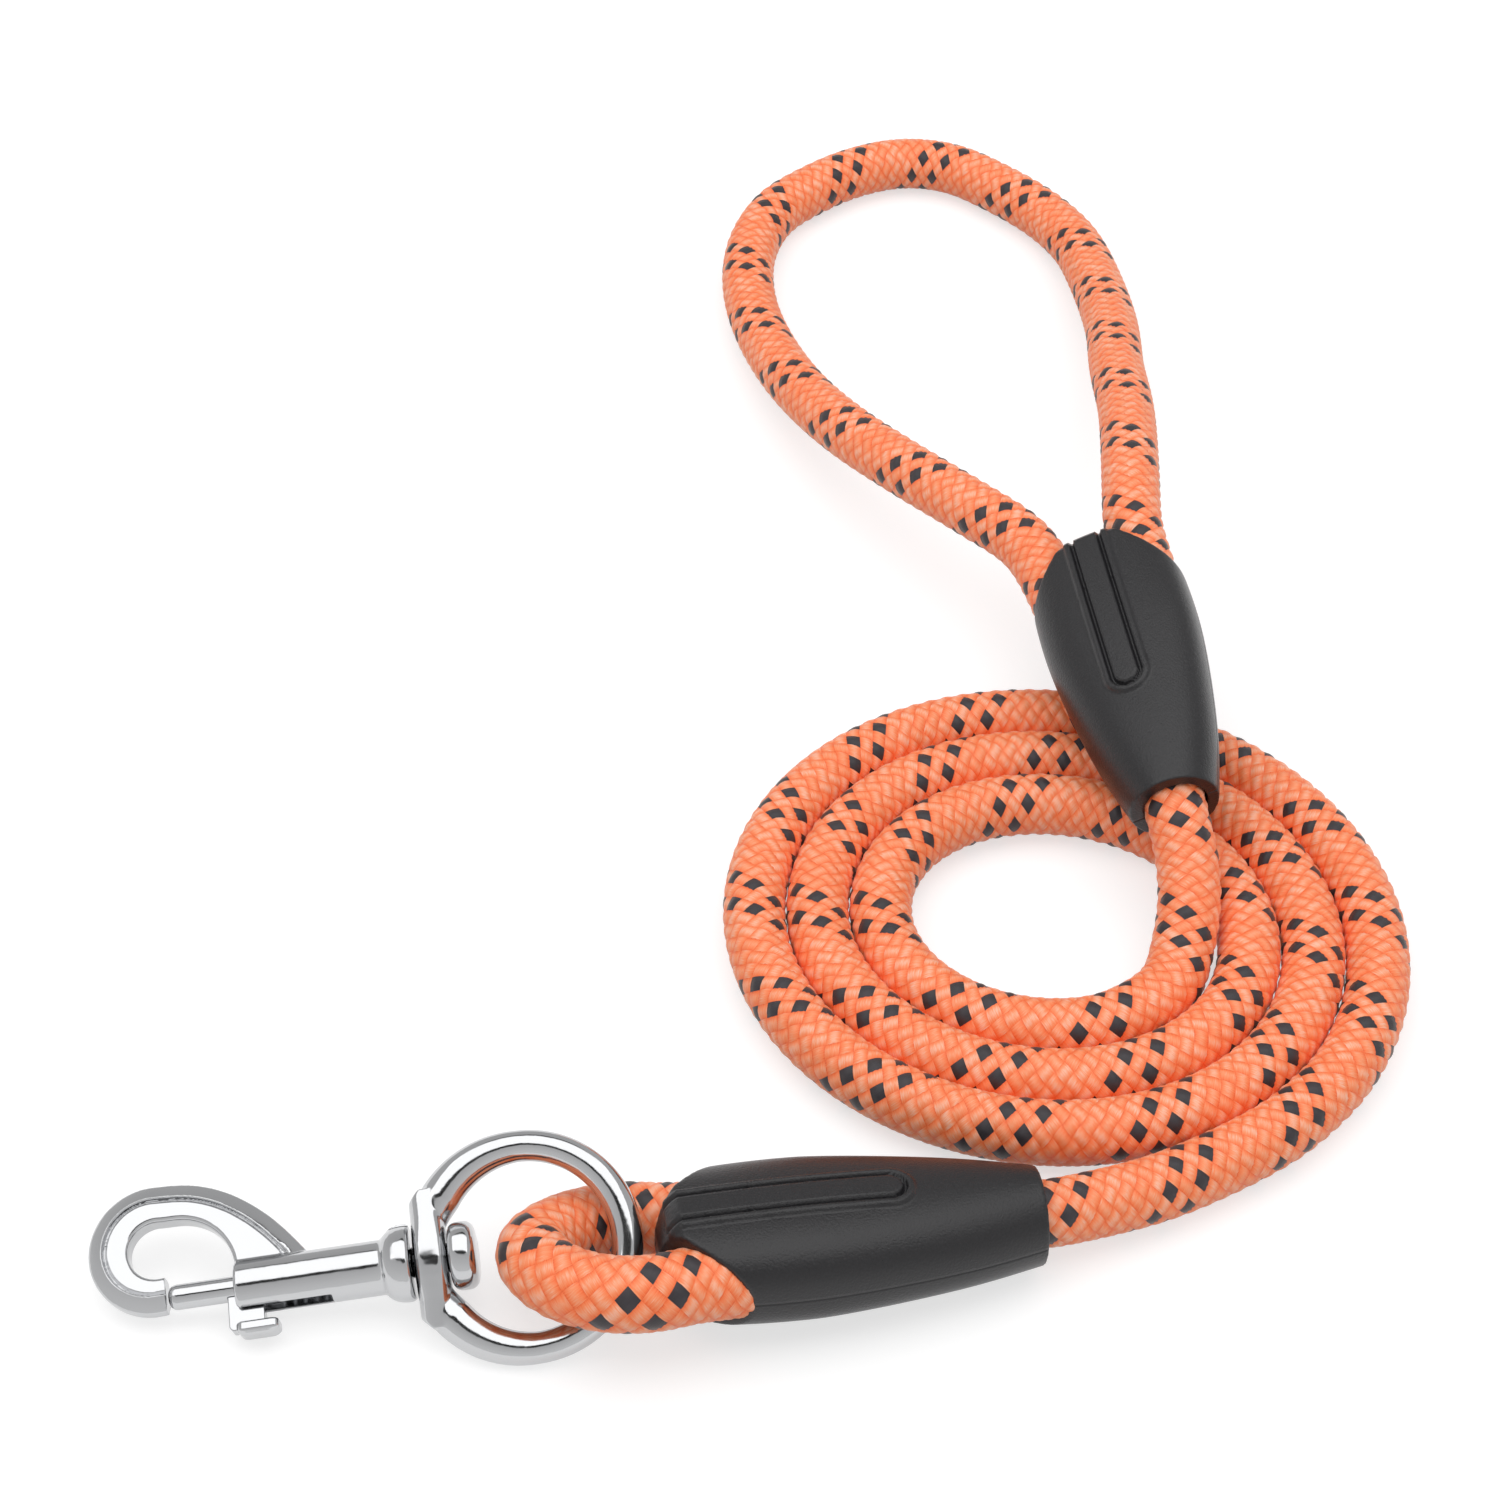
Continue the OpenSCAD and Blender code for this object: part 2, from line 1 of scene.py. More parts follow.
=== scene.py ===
# Rope dog lead: a braided rope coiled flat on the floor, with an eye at each end, two moulded
# sleeves over crimped joins, and a swivel ring with a bolt snap. Metres, +Z up, floor at Z = 0.
import math
import bmesh
import bpy
import numpy as np
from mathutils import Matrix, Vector


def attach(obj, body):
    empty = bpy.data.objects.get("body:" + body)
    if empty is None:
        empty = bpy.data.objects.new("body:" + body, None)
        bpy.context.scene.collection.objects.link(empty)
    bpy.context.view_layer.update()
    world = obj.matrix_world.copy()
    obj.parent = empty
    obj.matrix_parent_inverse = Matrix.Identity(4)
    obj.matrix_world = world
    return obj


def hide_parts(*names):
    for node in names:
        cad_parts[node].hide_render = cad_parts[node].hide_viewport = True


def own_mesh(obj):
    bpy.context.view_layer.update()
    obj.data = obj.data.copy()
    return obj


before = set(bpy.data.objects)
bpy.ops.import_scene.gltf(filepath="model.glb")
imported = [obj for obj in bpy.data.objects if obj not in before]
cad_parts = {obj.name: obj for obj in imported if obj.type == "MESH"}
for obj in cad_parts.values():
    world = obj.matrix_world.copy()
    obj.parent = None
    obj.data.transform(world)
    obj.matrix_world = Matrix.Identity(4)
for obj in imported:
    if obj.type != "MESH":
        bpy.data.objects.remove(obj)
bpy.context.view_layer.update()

# ---- camera ---------------------------------------------------------------------------------
# A short telephoto in front of the lead and about half a metre up. It looks down at all of it,
# with the snap at the near end and the hand loop at the far one.

camera = bpy.data.objects.new("camera", bpy.data.cameras.new("camera"))
camera.location = (0.0115, -0.42077, 0.47480)
camera.rotation_euler = (math.radians(45.4), 0, 0)
camera.data.lens = 80.35
camera.data.sensor_width = 36
bpy.context.scene.collection.objects.link(camera)
bpy.context.scene.camera = camera

# ---- rope -----------------------------------------------------------------------------------
# One climbing-style rope, 12 mm across the braid: a soft core in a sheath of sixteen flat
# nylon strands, eight laid each way, one over and one under. Two of the left-handed strands
# are black. It is drawn in three lengths that meet out of sight inside the sleeves.

MM = 0.001
ROPE_R = 6.05
STRAND_RELIEF = 0.45
STRAND_CROWN, STRAND_ARCH = 1.5, 3.3
STRANDS_EACH_WAY = 8
LAY_LENGTH = 25.6
SHEATH_SIDES = 48
STEPS_A_LAY = 48

# The lead is laid out in millimetres from a zero of its own, and SET_OUT takes that zero to the
# middle of the footprint. A rigid group's place is its origin, yaw, climb of +X and roll about +X.
SET_OUT = np.array([11.5, 60.7, 0])
HOOK_SLEEVE_AT = ([50, -124.4, 9.3], 188.6, 2.7, 10)
HANDLE_SLEEVE_AT = ([80.7, -36, 20.6], 99.5, 5.8, -24)


def placed(points, at):
    """Points of a rigid group's own frame, in millimetres, as points of the frame, in metres."""
    yaw, pitch, roll = (math.radians(a) for a in (at[1], -at[2], at[3]))
    x, y, z = np.array(points, float).T
    y, z = y * math.cos(roll) - z * math.sin(roll), y * math.sin(roll) + z * math.cos(roll)
    x, z = x * math.cos(pitch) + z * math.sin(pitch), z * math.cos(pitch) - x * math.sin(pitch)
    x, y = x * math.cos(yaw) - y * math.sin(yaw), x * math.sin(yaw) + y * math.cos(yaw)
    return (np.stack([x, y, z], axis=1) + SET_OUT + at[0]) * MM


def laid(points, half=ROPE_R):
    """Rope on the floor, written as x, y and the lift of its underside, in millimetres."""
    return (np.array(points, float) + SET_OUT + [0, 0, half]) * MM


def smooth_line(points, step, softened):
    """A curve through the points, even along its length, with small corners worn off."""
    p = np.vstack([2 * points[0] - points[1], points, 2 * points[-1] - points[-2]])
    fine = []
    for i in range(1, len(p) - 2):
        gaps = [max(np.linalg.norm(p[k + 1] - p[k]), 1e-6) ** 0.5 for k in (i - 1, i, i + 1)]
        t = np.cumsum([0] + gaps)
        u = np.linspace(t[1], t[2], 24, endpoint=False)[:, None]
        a = [(t[k + 1] - u) / (t[k + 1] - t[k]) * p[i - 1 + k]
             + (u - t[k]) / (t[k + 1] - t[k]) * p[i + k] for k in range(3)]
        b = [(t[k + 2] - u) / (t[k + 2] - t[k]) * a[k]
             + (u - t[k]) / (t[k + 2] - t[k]) * a[k + 1] for k in range(2)]
        fine.append((t[2] - u) / (t[2] - t[1]) * b[0] + (u - t[1]) / (t[2] - t[1]) * b[1])
    line = np.vstack(fine + [p[-2:-1]])
    # Made even, worn, and made even again
    for wear in (softened, 0):
        run = np.concatenate([[0], np.cumsum(np.linalg.norm(np.diff(line, axis=0), axis=1))])
        even = np.linspace(0, run[-1], int(round(run[-1] / step)) + 1)
        line = np.stack([np.interp(even, run, line[:, k]) for k in range(3)], axis=1)
        reach = int(3 * wear / step)
        if reach > 0:
            weights = np.exp(-0.5 * (np.arange(-reach, reach + 1) * step / wear) ** 2)
            weights /= weights.sum()
            ends = np.vstack([2 * line[0] - line[reach:0:-1], line,
                              2 * line[-1] - line[-2:-reach - 2:-1]])
            line = np.stack([np.convolve(ends[:, k], weights, "valid") for k in range(3)], axis=1)
    return line


def maths(tree):
    """A call that adds one Math node to the tree and gives its result."""
    def add(operation, *values):
        node = tree.nodes.new("ShaderNodeMath")
        node.operation = operation
        for socket, value in zip(node.inputs, values):
            if isinstance(value, bpy.types.NodeSocket):
                tree.links.new(value, socket)
            else:
                socket.default_value = value
        return node.outputs[0]
    return add


def weave(tree, turn, run):
    """Where a point of the sheath is in the braid, from its turn round the rope and its run
    along it in lays: offset across and along the strand on top, that strand's number, whether
    it is of the second family, and the height of the float, 0 to 1."""
    m = maths(tree)
    around = m("MULTIPLY", turn, STRANDS_EACH_WAY)
    ahead = m("MULTIPLY", run, STRANDS_EACH_WAY)
    first, second = m("ADD", ahead, around), m("SUBTRACT", ahead, around)
    first_no, second_no = m("ROUND", first), m("ROUND", second)
    first_off, second_off = m("SUBTRACT", first, first_no), m("SUBTRACT", second, second_no)
    is_second = m("PINGPONG", m("ADD", first_no, second_no), 1)
    swap = m("MULTIPLY", is_second, m("SUBTRACT", second_off, first_off))
    across, along = m("ADD", first_off, swap), m("SUBTRACT", second_off, swap)
    crown = m("MULTIPLY_ADD", m("MULTIPLY", across, across), -STRAND_CROWN, 1)
    arch = m("MULTIPLY_ADD", m("MULTIPLY", along, along), -STRAND_ARCH, 1)
    return across, along, first_no, second_no, is_second, m("MULTIPLY", crown, arch)


def new_group(name, result, **inputs):
    """An empty Geometry Nodes group with one geometry for its result, and these inputs, of the
    kinds Geometry, Float, Int or Material."""
    group = bpy.data.node_groups.new(name, "GeometryNodeTree")
    for socket, kind in inputs.items():
        group.interface.new_socket(socket.replace("_", " "), in_out="INPUT",
                                   socket_type="NodeSocket" + kind)
    group.interface.new_socket(result, in_out="OUTPUT", socket_type="NodeSocketGeometry")
    return group


def grown(carrier, group, **values):
    """The plain mesh that a group grows on a carrier object from these inputs. The carrier is
    then removed."""
    bpy.context.scene.collection.objects.link(carrier)
    growth = carrier.modifiers.new(group.name, "NODES")
    growth.node_group = group
    sockets = {s.name: s.identifier for s in group.interface.items_tree if s.in_out == "INPUT"}
    for name, value in values.items():
        growth[sockets[name.replace("_", " ")]] = value
    bpy.context.view_layer.update()
    mesh = bpy.data.meshes.new_from_object(carrier.evaluated_get(bpy.context.evaluated_depsgraph_get()))
    bpy.data.objects.remove(carrier)
    return mesh


def node(tree, kind, **links):
    """A new node of the tree, its inputs linked to sockets or set to values by name."""
    made = tree.nodes.new(kind)
    for name, value in links.items():
        socket = made.inputs[name.replace("_", " ")]
        if isinstance(value, bpy.types.NodeSocket):
            tree.links.new(value, socket)
        else:
            socket.default_value = value
    return made


def braided_sheath():
    """The line keeps its own run and middle, the profile its place round; the strands' height
    then pushes each point of the swept tube outwards."""
    tree = new_group("braided_sheath", "Sheath", Line="Geometry", Core_radius="Float",
                     Strand_relief="Float", Lay="Float", Sides="Int", Material="Material")
    given = tree.nodes.new("NodeGroupInput").outputs
    m = maths(tree)
    line = tree.nodes.new("GeometryNodeCaptureAttribute")
    line.capture_items.new("FLOAT", "run")
    line.capture_items.new("VECTOR", "middle")
    tree.links.new(given["Line"], line.inputs["Geometry"])
    spline = tree.nodes.new("GeometryNodeSplineParameter").outputs
    position = tree.nodes.new("GeometryNodeInputPosition").outputs[0]
    tree.links.new(spline["Length"], line.inputs["run"])
    tree.links.new(position, line.inputs["middle"])
    circle = node(tree, "GeometryNodeCurvePrimitiveCircle", Resolution=given["Sides"],
                  Radius=given["Core radius"])
    profile = tree.nodes.new("GeometryNodeCaptureAttribute")
    profile.capture_items.new("FLOAT", "turn")
    tree.links.new(circle.outputs["Curve"], profile.inputs["Geometry"])
    tree.links.new(m("DIVIDE", spline["Index"], given["Sides"]), profile.inputs["turn"])
    tube = node(tree, "GeometryNodeCurveToMesh", Curve=line.outputs["Geometry"],
                Profile_Curve=profile.outputs["Geometry"], Fill_Caps=True)
    turn, run = profile.outputs["turn"], m("DIVIDE", line.outputs["run"], given["Lay"])
    height = weave(tree, turn, run)[-1]
    away = tree.nodes.new("ShaderNodeVectorMath")
    away.operation = "SUBTRACT"
    tree.links.new(position, away.inputs[0])
    tree.links.new(line.outputs["middle"], away.inputs[1])
    out = tree.nodes.new("ShaderNodeVectorMath")
    out.operation = "SCALE"
    tree.links.new(away.outputs[0], out.inputs[0])
    tree.links.new(m("DIVIDE", m("MULTIPLY", height, given["Strand relief"]), given["Core radius"]),
                   out.inputs["Scale"])
    pushed = node(tree, "GeometryNodeSetPosition", Geometry=tube.outputs["Mesh"], Offset=out.outputs[0])
    angle = m("MULTIPLY", turn, 2 * math.pi)
    place = node(tree, "ShaderNodeCombineXYZ", X=m("COSINE", angle), Y=m("SINE", angle), Z=run)
    store = tree.nodes.new("GeometryNodeStoreNamedAttribute")
    store.data_type = "FLOAT_VECTOR"
    store.inputs["Name"].default_value = "place_on_rope"
    tree.links.new(pushed.outputs[0], store.inputs["Geometry"])
    tree.links.new(place.outputs[0], store.inputs["Value"])
    smooth = node(tree, "GeometryNodeSetShadeSmooth", Geometry=store.outputs[0])
    whole = node(tree, "GeometryNodeRealizeInstances", Geometry=smooth.outputs[0])
    dressed = node(tree, "GeometryNodeSetMaterial", Geometry=whole.outputs[0], Material=given["Material"])
    tree.links.new(dressed.outputs[0], tree.nodes.new("NodeGroupOutput").inputs[0])
    return tree


def new_finish(name):
    """A new material, with its node tree, a maths call for the tree, and its shader."""
    material = bpy.data.materials.new(name)
    material.use_nodes = True
    tree = material.node_tree
    return material, tree, maths(tree), tree.nodes["Principled BSDF"]


def rope_nylon():
    """Bright orange strands of fine parallel filaments, with painted shade where they dive and a painted
    pale pink highlight along the filaments, and black floats on two strands of the first family."""
    material, tree, m, shader = new_finish("rope_nylon")
    place = tree.nodes.new("ShaderNodeAttribute")
    place.attribute_name = "place_on_rope"
    parts = node(tree, "ShaderNodeSeparateXYZ", Vector=place.outputs["Vector"]).outputs
    turn = m("DIVIDE", m("ARCTAN2", parts["Y"], parts["X"]), 2 * math.pi)
    across, along, first_no, second_no, is_second, height = weave(tree, turn, parts["Z"])
    number = m("FLOORED_MODULO", first_no, STRANDS_EACH_WAY)
    is_black = m("MULTIPLY", m("COMPARE", m("ABSOLUTE", m("SUBTRACT", number, 1)), 1, 0.1),
                 m("SUBTRACT", 1, is_second))
    filament_place = node(tree, "ShaderNodeCombineXYZ", X=m("MULTIPLY", across, 16), Y=along,
                          Z=m("MULTIPLY_ADD", first_no, 7.31, m("MULTIPLY", second_no, 3.17)))
    filaments = node(tree, "ShaderNodeTexNoise", Vector=filament_place.outputs[0], Scale=1.6,
                     Detail=2.0, Roughness=0.6)
    blotch_place = node(tree, "ShaderNodeCombineXYZ", X=m("MULTIPLY", first_no, 5.3),
                        Y=m("MULTIPLY", second_no, 4.1), Z=is_second)
    blotch = node(tree, "ShaderNodeTexWhiteNoise", Vector=blotch_place.outputs[0])
    # Painted shade: each float darkens towards its ends, where the strand dives under its neighbours. The
    # filament streaks give the strands' own tone and a painted highlight together.
    dive = m("MULTIPLY", m("ABSOLUTE", along), 2)
    painted_shade_and_tone = m("MULTIPLY_ADD", m("MULTIPLY", dive, dive), -0.5, 0.84)
    painted_shade_and_tone = m("ADD", painted_shade_and_tone, m("MULTIPLY", m("SUBTRACT", filaments.outputs["Fac"], 0.5), 0.85))
    painted_shade_and_tone = m("ADD", painted_shade_and_tone, m("MULTIPLY", m("SUBTRACT", blotch.outputs["Value"], 0.5), 0.16))
    # The ramps run from painted shade up to a painted highlight: pale pink on the orange, dark grey on
    # the black.
    orange = tree.nodes.new("ShaderNodeValToRGB")
    orange.color_ramp.elements[0].color = (0.72, 0.06, 0.008, 1)
    orange.color_ramp.elements[1].color = (1.0, 0.52, 0.36, 1)
    orange.color_ramp.elements.new(0.4).color = (0.98, 0.17, 0.04, 1)
    orange.color_ramp.elements.new(0.75).color = (1.0, 0.29, 0.115, 1)
    tree.links.new(painted_shade_and_tone, orange.inputs[0])
    black = tree.nodes.new("ShaderNodeValToRGB")
    black.color_ramp.elements[0].color = (0.008, 0.006, 0.008, 1)
    black.color_ramp.elements[1].color = (0.035, 0.028, 0.034, 1)
    tree.links.new(painted_shade_and_tone, black.inputs[0])
    colour = tree.nodes.new("ShaderNodeMix")
    colour.data_type = "RGBA"
    tree.links.new(is_black, colour.inputs[0])
    tree.links.new(orange.outputs[0], colour.inputs[6])
    tree.links.new(black.outputs[0], colour.inputs[7])
    tree.links.new(colour.outputs[2], shader.inputs["Base Color"])
    roughness = m("MULTIPLY_ADD", filaments.outputs["Fac"], 0.2, 0.36)
    tree.links.new(roughness, shader.inputs["Roughness"])
    grain = node(tree, "ShaderNodeBump", Strength=0.6, Distance=0.00012,
                 Height=m("MULTIPLY_ADD", filaments.outputs["Fac"], 0.6, height))
    tree.links.new(grain.outputs[0], shader.inputs["Normal"])
    shader.inputs["Sheen Weight"].default_value = 0.25
    shader.inputs["Sheen Roughness"].default_value = 0.4
    shader.inputs["Sheen Tint"].default_value = (1.0, 0.75, 0.6, 1)
    shader.inputs["Specular IOR Level"].default_value = 0.5
    return material


SHEATH = braided_sheath()
ROPE_NYLON = rope_nylon()


def rope(name, points, softened, nodes, half=ROPE_R, lay=LAY_LENGTH):
    """One length of the rope along the points: swept and braided, and carried by the lead."""
    line = smooth_line(points, lay * MM / STEPS_A_LAY, softened)
    curve = bpy.data.curves.new(name + "_line", "CURVE")
    curve.dimensions = "3D"
    curve.twist_mode = "MINIMUM"
    spline = curve.splines.new("POLY")
    spline.points.add(len(line) - 1)
    spline.points.foreach_set("co", np.hstack([line, np.ones((len(line), 1))]).ravel())
    mesh = grown(bpy.data.objects.new(name + "_line", curve), SHEATH,
                 Core_radius=(half - STRAND_RELIEF) * MM, Strand_relief=STRAND_RELIEF * MM,
                 Lay=lay * MM, Sides=SHEATH_SIDES, Material=ROPE_NYLON)
    piece = bpy.data.objects.new(name, mesh)
    bpy.context.scene.collection.objects.link(piece)
    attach(piece, "lead")
    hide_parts(*nodes)
    return line


# Inside a sleeve the rope bends off to one side, and its returning tail lies on the other
IN_SLEEVE = [[6, -0.6, 0], [12, -2.1, 0], [18, -4, 0], [24, -5.5, 0], [30, -6.1, 0],
             [38, -6.1, 0], [44, -7.3, 0], [49, -8.5, 0]]
TAIL_IN_SLEEVE = [[49, 8.5, 0], [44, 7.3, 0], [38, 6.1, 0], [30, 6.1, 0], [27, 6.1, 0]]
HOOK_EYE = [[-10, -124.6, 2.1], [-16, -124.2, 1.1], [-22, -123.4, 0.4], [-28, -124.6, 0.6],
            [-33.5, -128, 2.1], [-37.2, -133.7, 4.6], [-34.5, -140, 7.2], [-28.8, -144.4, 8.8],
            [-22, -146, 9.2], [-16, -145.5, 8.9], [-9.5, -143.2, 8]]
COIL_LEAD = [[61.5, -120.5, 1.6], [72, -116.3, 0.5], [82.5, -110.8, 0]]
COIL_RISE = [[78.2, -69.4, 0.4], [80.5, -63, 2], [82.7, -53.5, 5.8], [82.5, -44, 10.3]]
HANDLE_LOOP = [[77.5, 32, 25.3], [78, 44, 25.5], [79, 59, 23.8], [80, 76.5, 20.2],
               [80, 96.5, 15.2], [81, 118, 9.7], [80, 140, 4.5], [77, 160, 1.3],
               [73.5, 169, 0.4], [68, 177.5, 0], [58.5, 187, 0], [48.5, 194.5, 0],
               [36.5, 196.5, 0], [24, 192, 0], [14.5, 185, 0], [6.5, 177, 0],
               [1.5, 166, 0], [-0.5, 153.5, 0], [0.5, 138, 0.5], [4.5, 120.5, 2.4],
               [11, 102, 5.5], [20.5, 83, 9.6], [33.5, 64, 13.8], [46.5, 48, 16.6], [57, 35.5, 17.4]]

# The coil is a spiral, a little longer one way than the other
COIL_MIDDLE = (56.4, -53.4)
COIL_R, COIL_PITCH, COIL_STRETCH, COIL_STRETCH_WAY = 60.4, 12, 1.5, 21
COIL_FROM, COIL_TO = -55, 1012
turns = np.radians(np.concatenate([[COIL_FROM], np.arange(COIL_FROM + 5, COIL_TO - 6, 15), [COIL_TO]]))
radius = (COIL_R - COIL_PITCH * turns / (2 * np.pi)
          + COIL_STRETCH * np.cos(2 * (turns + math.radians(COIL_STRETCH_WAY))))
COIL = laid(np.stack([COIL_MIDDLE[0] + radius * np.cos(turns), COIL_MIDDLE[1] + radius * np.sin(turns),
                      0 * turns], axis=1))

# Where it bends round the ring the rope spreads a little, and its lay is longer
EYE_R, EYE_LAY = 6.6, 27.5
hook_path = rope(
    "rope_hook_end",
    np.vstack([placed(IN_SLEEVE, HOOK_SLEEVE_AT), laid(HOOK_EYE, EYE_R),
               placed(TAIL_IN_SLEEVE, HOOK_SLEEVE_AT)]),
    1.5 * MM, ["rope_hook_run", "rope_hook_eye", "rope_hook_tail"], EYE_R, EYE_LAY)
rope(
    "rope_coiled",
    np.vstack([placed([[6, -0.6, 0], [0, 0, 0]], HOOK_SLEEVE_AT), laid(COIL_LEAD), COIL,
               laid(COIL_RISE), placed([[0, 0, 0], [6, -0.6, 0]], HANDLE_SLEEVE_AT)]),
    3 * MM, ["rope_coil_lead", "rope_coil", "rope_coil_rise"])
handle_path = rope(
    "rope_handle_end",
    np.vstack([placed(IN_SLEEVE, HANDLE_SLEEVE_AT), laid(HANDLE_LOOP),
               placed(TAIL_IN_SLEEVE, HANDLE_SLEEVE_AT)]),
    3 * MM, ["rope_handle_run", "rope_handle_loop", "rope_handle_tail"])

# ---- sleeves --------------------------------------------------------------------------------
# Two matt black mouldings closed over the crimped joins: round and snug at the end with one
# rope, broad where two ropes leave it, with a raised tongue that runs out at the broad end.

SLEEVE_LEN, SLEEVE_NARROW_R = 64, 8.7
SLEEVE_HOLE_R = 6.15
SLEEVE_SIDES = 96
SLEEVE_NOSE_FROM = 62
TONGUE_HALF_W, TONGUE_FROM, TONGUE_RISE, TONGUE_ABOVE = 4.8, 22, 0.8, 6.2

# How far in from the tongue's edge, and the share of its rise there: a groove runs round it
TONGUE_IN = [0, 0.4, 1.4, 1.75, 2.1, 2.5, 4.8]
TONGUE_SHARE = [0, 0.9, 1, -0.6, -0.6, 0.95, 1]


def skin(rings, round_again=False):
    """Points and faces of a closed skin through rings of points: it has a flat cap at each end,
    or comes round again to its first ring."""
    count, sides = rings.shape[:2]
    faces = [(i * sides + k, i * sides + (k + 1) % sides, (i + 1) % count * sides + (k + 1) % sides,
              (i + 1) % count * sides + k) for i in range(count - 1 + round_again) for k in range(sides)]
    if not round_again:
        faces.append(tuple(range(sides))[::-1])
        faces.append(tuple((count - 1) * sides + k for k in range(sides)))
    return rings.reshape(-1, 3), faces


def swept(line, radius, sides=32):
    """A round bar along a line."""
    along = np.gradient(line, axis=0)
    along /= np.linalg.norm(along, axis=1)[:, None]
    side = np.cross(along, [0, 0, 1.0])
    side /= np.linalg.norm(side, axis=1)[:, None]
    up = np.cross(side, along)
    turn = np.linspace(0, 2 * np.pi, sides, endpoint=False)[None, :, None]
    radius = np.broadcast_to(radius, len(line))[:, None, None]
    return skin(line[:, None] + radius * (np.cos(turn) * side[:, None] + np.sin(turn) * up[:, None]))


def plate(outline, low, high):
    """A flat plate of that outline, from one height to another."""
    ring = np.array(outline, float)
    return skin(np.stack([np.column_stack([ring, np.full(len(ring), z)]) for z in (low, high)]))


def turned(profile, sides=64):
    """A solid turned about the X axis from [x, radius] points."""
    turn = np.linspace(0, 2 * np.pi, sides, endpoint=False)
    return skin(np.stack([np.column_stack([np.full(sides, x), r * np.cos(turn), r * np.sin(turn)])
                          for x, r in profile]))


def mesh_of(name, shells):
    """One mesh of several closed shells, in millimetres, their faces turned outwards."""
    points, faces, first = [], [], 0
    for shell_points, shell_faces in shells:
        points.append(shell_points)
        faces += [tuple(first + i for i in face) for face in shell_faces]
        first += len(shell_points)
    mesh = bpy.data.meshes.new(name)
    mesh.from_pydata(np.vstack(points).tolist(), [], faces)
    work = bmesh.new()
    work.from_mesh(mesh)
    bmesh.ops.remove_doubles(work, verts=work.verts, dist=1e-5)
    bmesh.ops.recalc_face_normals(work, faces=work.faces)
    work.to_mesh(mesh)
    work.free()
    return mesh


def moulded(name, shells, cuts, grain, softening):
    """One smooth skin round the shells, less the cuts, with its edges worn round, as a mesh in
    millimetres in the piece's own frame."""
    body = bpy.data.objects.new(name, mesh_of(name, shells))
    bpy.context.scene.collection.objects.link(body)
    spare = []
    for k, cut in enumerate(cuts):
        tool = bpy.data.objects.new(f"{name}_cut_{k}", mesh_of(f"{name}_cut_{k}", cut))
        bpy.context.scene.collection.objects.link(tool)
        spare.append(tool)
        less = body.modifiers.new(f"less_{k}", "BOOLEAN")
        less.operation = "DIFFERENCE"
        less.object = tool
        less.solver = "EXACT"
        less.use_self = True
    even = body.modifiers.new("even", "REMESH")
    even.mode = "VOXEL"
    even.voxel_size = grain
    even.adaptivity = 0
    worn = body.modifiers.new("worn", "SMOOTH")
    worn.factor = 0.5
    worn.iterations = softening
    bpy.context.view_layer.update()
    mesh = bpy.data.meshes.new_from_object(body.evaluated_get(bpy.context.evaluated_depsgraph_get()))
    for tool in spare + [body]:
        bpy.data.objects.remove(tool)
    return mesh


def points_of(mesh):
    """The mesh's points, one in a row."""
    points = np.zeros(len(mesh.vertices) * 3, np.float32)
    mesh.vertices.foreach_get("co", points)
    return points.reshape(-1, 3)


def settle(mesh, at, body, nodes, material):
    """Puts a piece's mesh from its own frame into place, keeps that frame as an attribute for
    its finish, and hands it to the body that carries it."""
    own = points_of(mesh)
    kept = mesh.attributes.new("own_place", "FLOAT_VECTOR", "POINT")
    kept.data.foreach_set("vector", (own * MM).ravel())
    mesh.vertices.foreach_set("co", placed(own, at).astype(np.float32).ravel())
    mesh.materials.clear()
    mesh.materials.append(material)
    mesh.polygons.foreach_set("use_smooth", np.ones(len(mesh.polygons), bool))
    mesh.update()
    piece = bpy.data.objects.new(mesh.name, mesh)
    bpy.context.scene.collection.objects.link(piece)
    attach(piece, body)
    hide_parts(*nodes)
    return piece


def sleeve_skin():
    """Sections a millimetre apart, round at the narrow end and growing broader and squarer from
    there, then the closer ones of a rounded nose between the two ropes."""
    at = np.array([0, 0.18, 0.42, 0.64, 0.85, 1]) * SLEEVE_LEN
    nose_x = [63, 63.9, 64.6, 65.2, 65.7, 66.1, 66.4, 66.7]
    nose_high = [8.2, 7.4, 6.5, 5.5, 4.4, 3.2, 2.0]
    x = np.concatenate([np.linspace(0, SLEEVE_NOSE_FROM, SLEEVE_NOSE_FROM + 1), nose_x])
    wide = np.interp(x, at, [SLEEVE_NARROW_R, 11.9, 14.25, 15.8, 15.6, 14.7])
    high = np.interp(x, at, [SLEEVE_NARROW_R, 9.45, 9.75, 9.9, 9.5, 8.9])
    # Ease the kinks out of both, as far as the nose
    for size in (wide, high):
        body = size[:SLEEVE_NOSE_FROM + 1]
        for _ in range(60):
            body[1:-1] += 0.25 * (body[:-2] + body[2:] - 2 * body[1:-1])
    high[-7:] = nose_high
    square = 2 + 0.7 * np.clip(x / 40, 0, 1)
    turn = np.linspace(0, 2 * np.pi, SLEEVE_SIDES, endpoint=False)
    c, s = np.cos(turn), np.sin(turn)
    rings = []
    for along, w, h, n in zip(x, wide, high, square):
        rings.append(np.column_stack([np.full(SLEEVE_SIDES, along), w * np.sign(c) * np.abs(c) ** (2 / n),
                                      h * np.sign(s) * np.abs(s) ** (2 / n)]))
    return skin(np.stack(rings))


def in_own_frame(points, at):
    """The other way round: points of the frame, in metres, in a rigid group's own millimetres."""
    axes = placed([[1, 0, 0], [0, 1, 0], [0, 0, 1]], at) - placed([[0, 0, 0]], at)
    return (points - placed([[0, 0, 0]], at)) @ axes.T / MM ** 2


CRIMP_X, CRIMP_Y = 34.0, 6.1


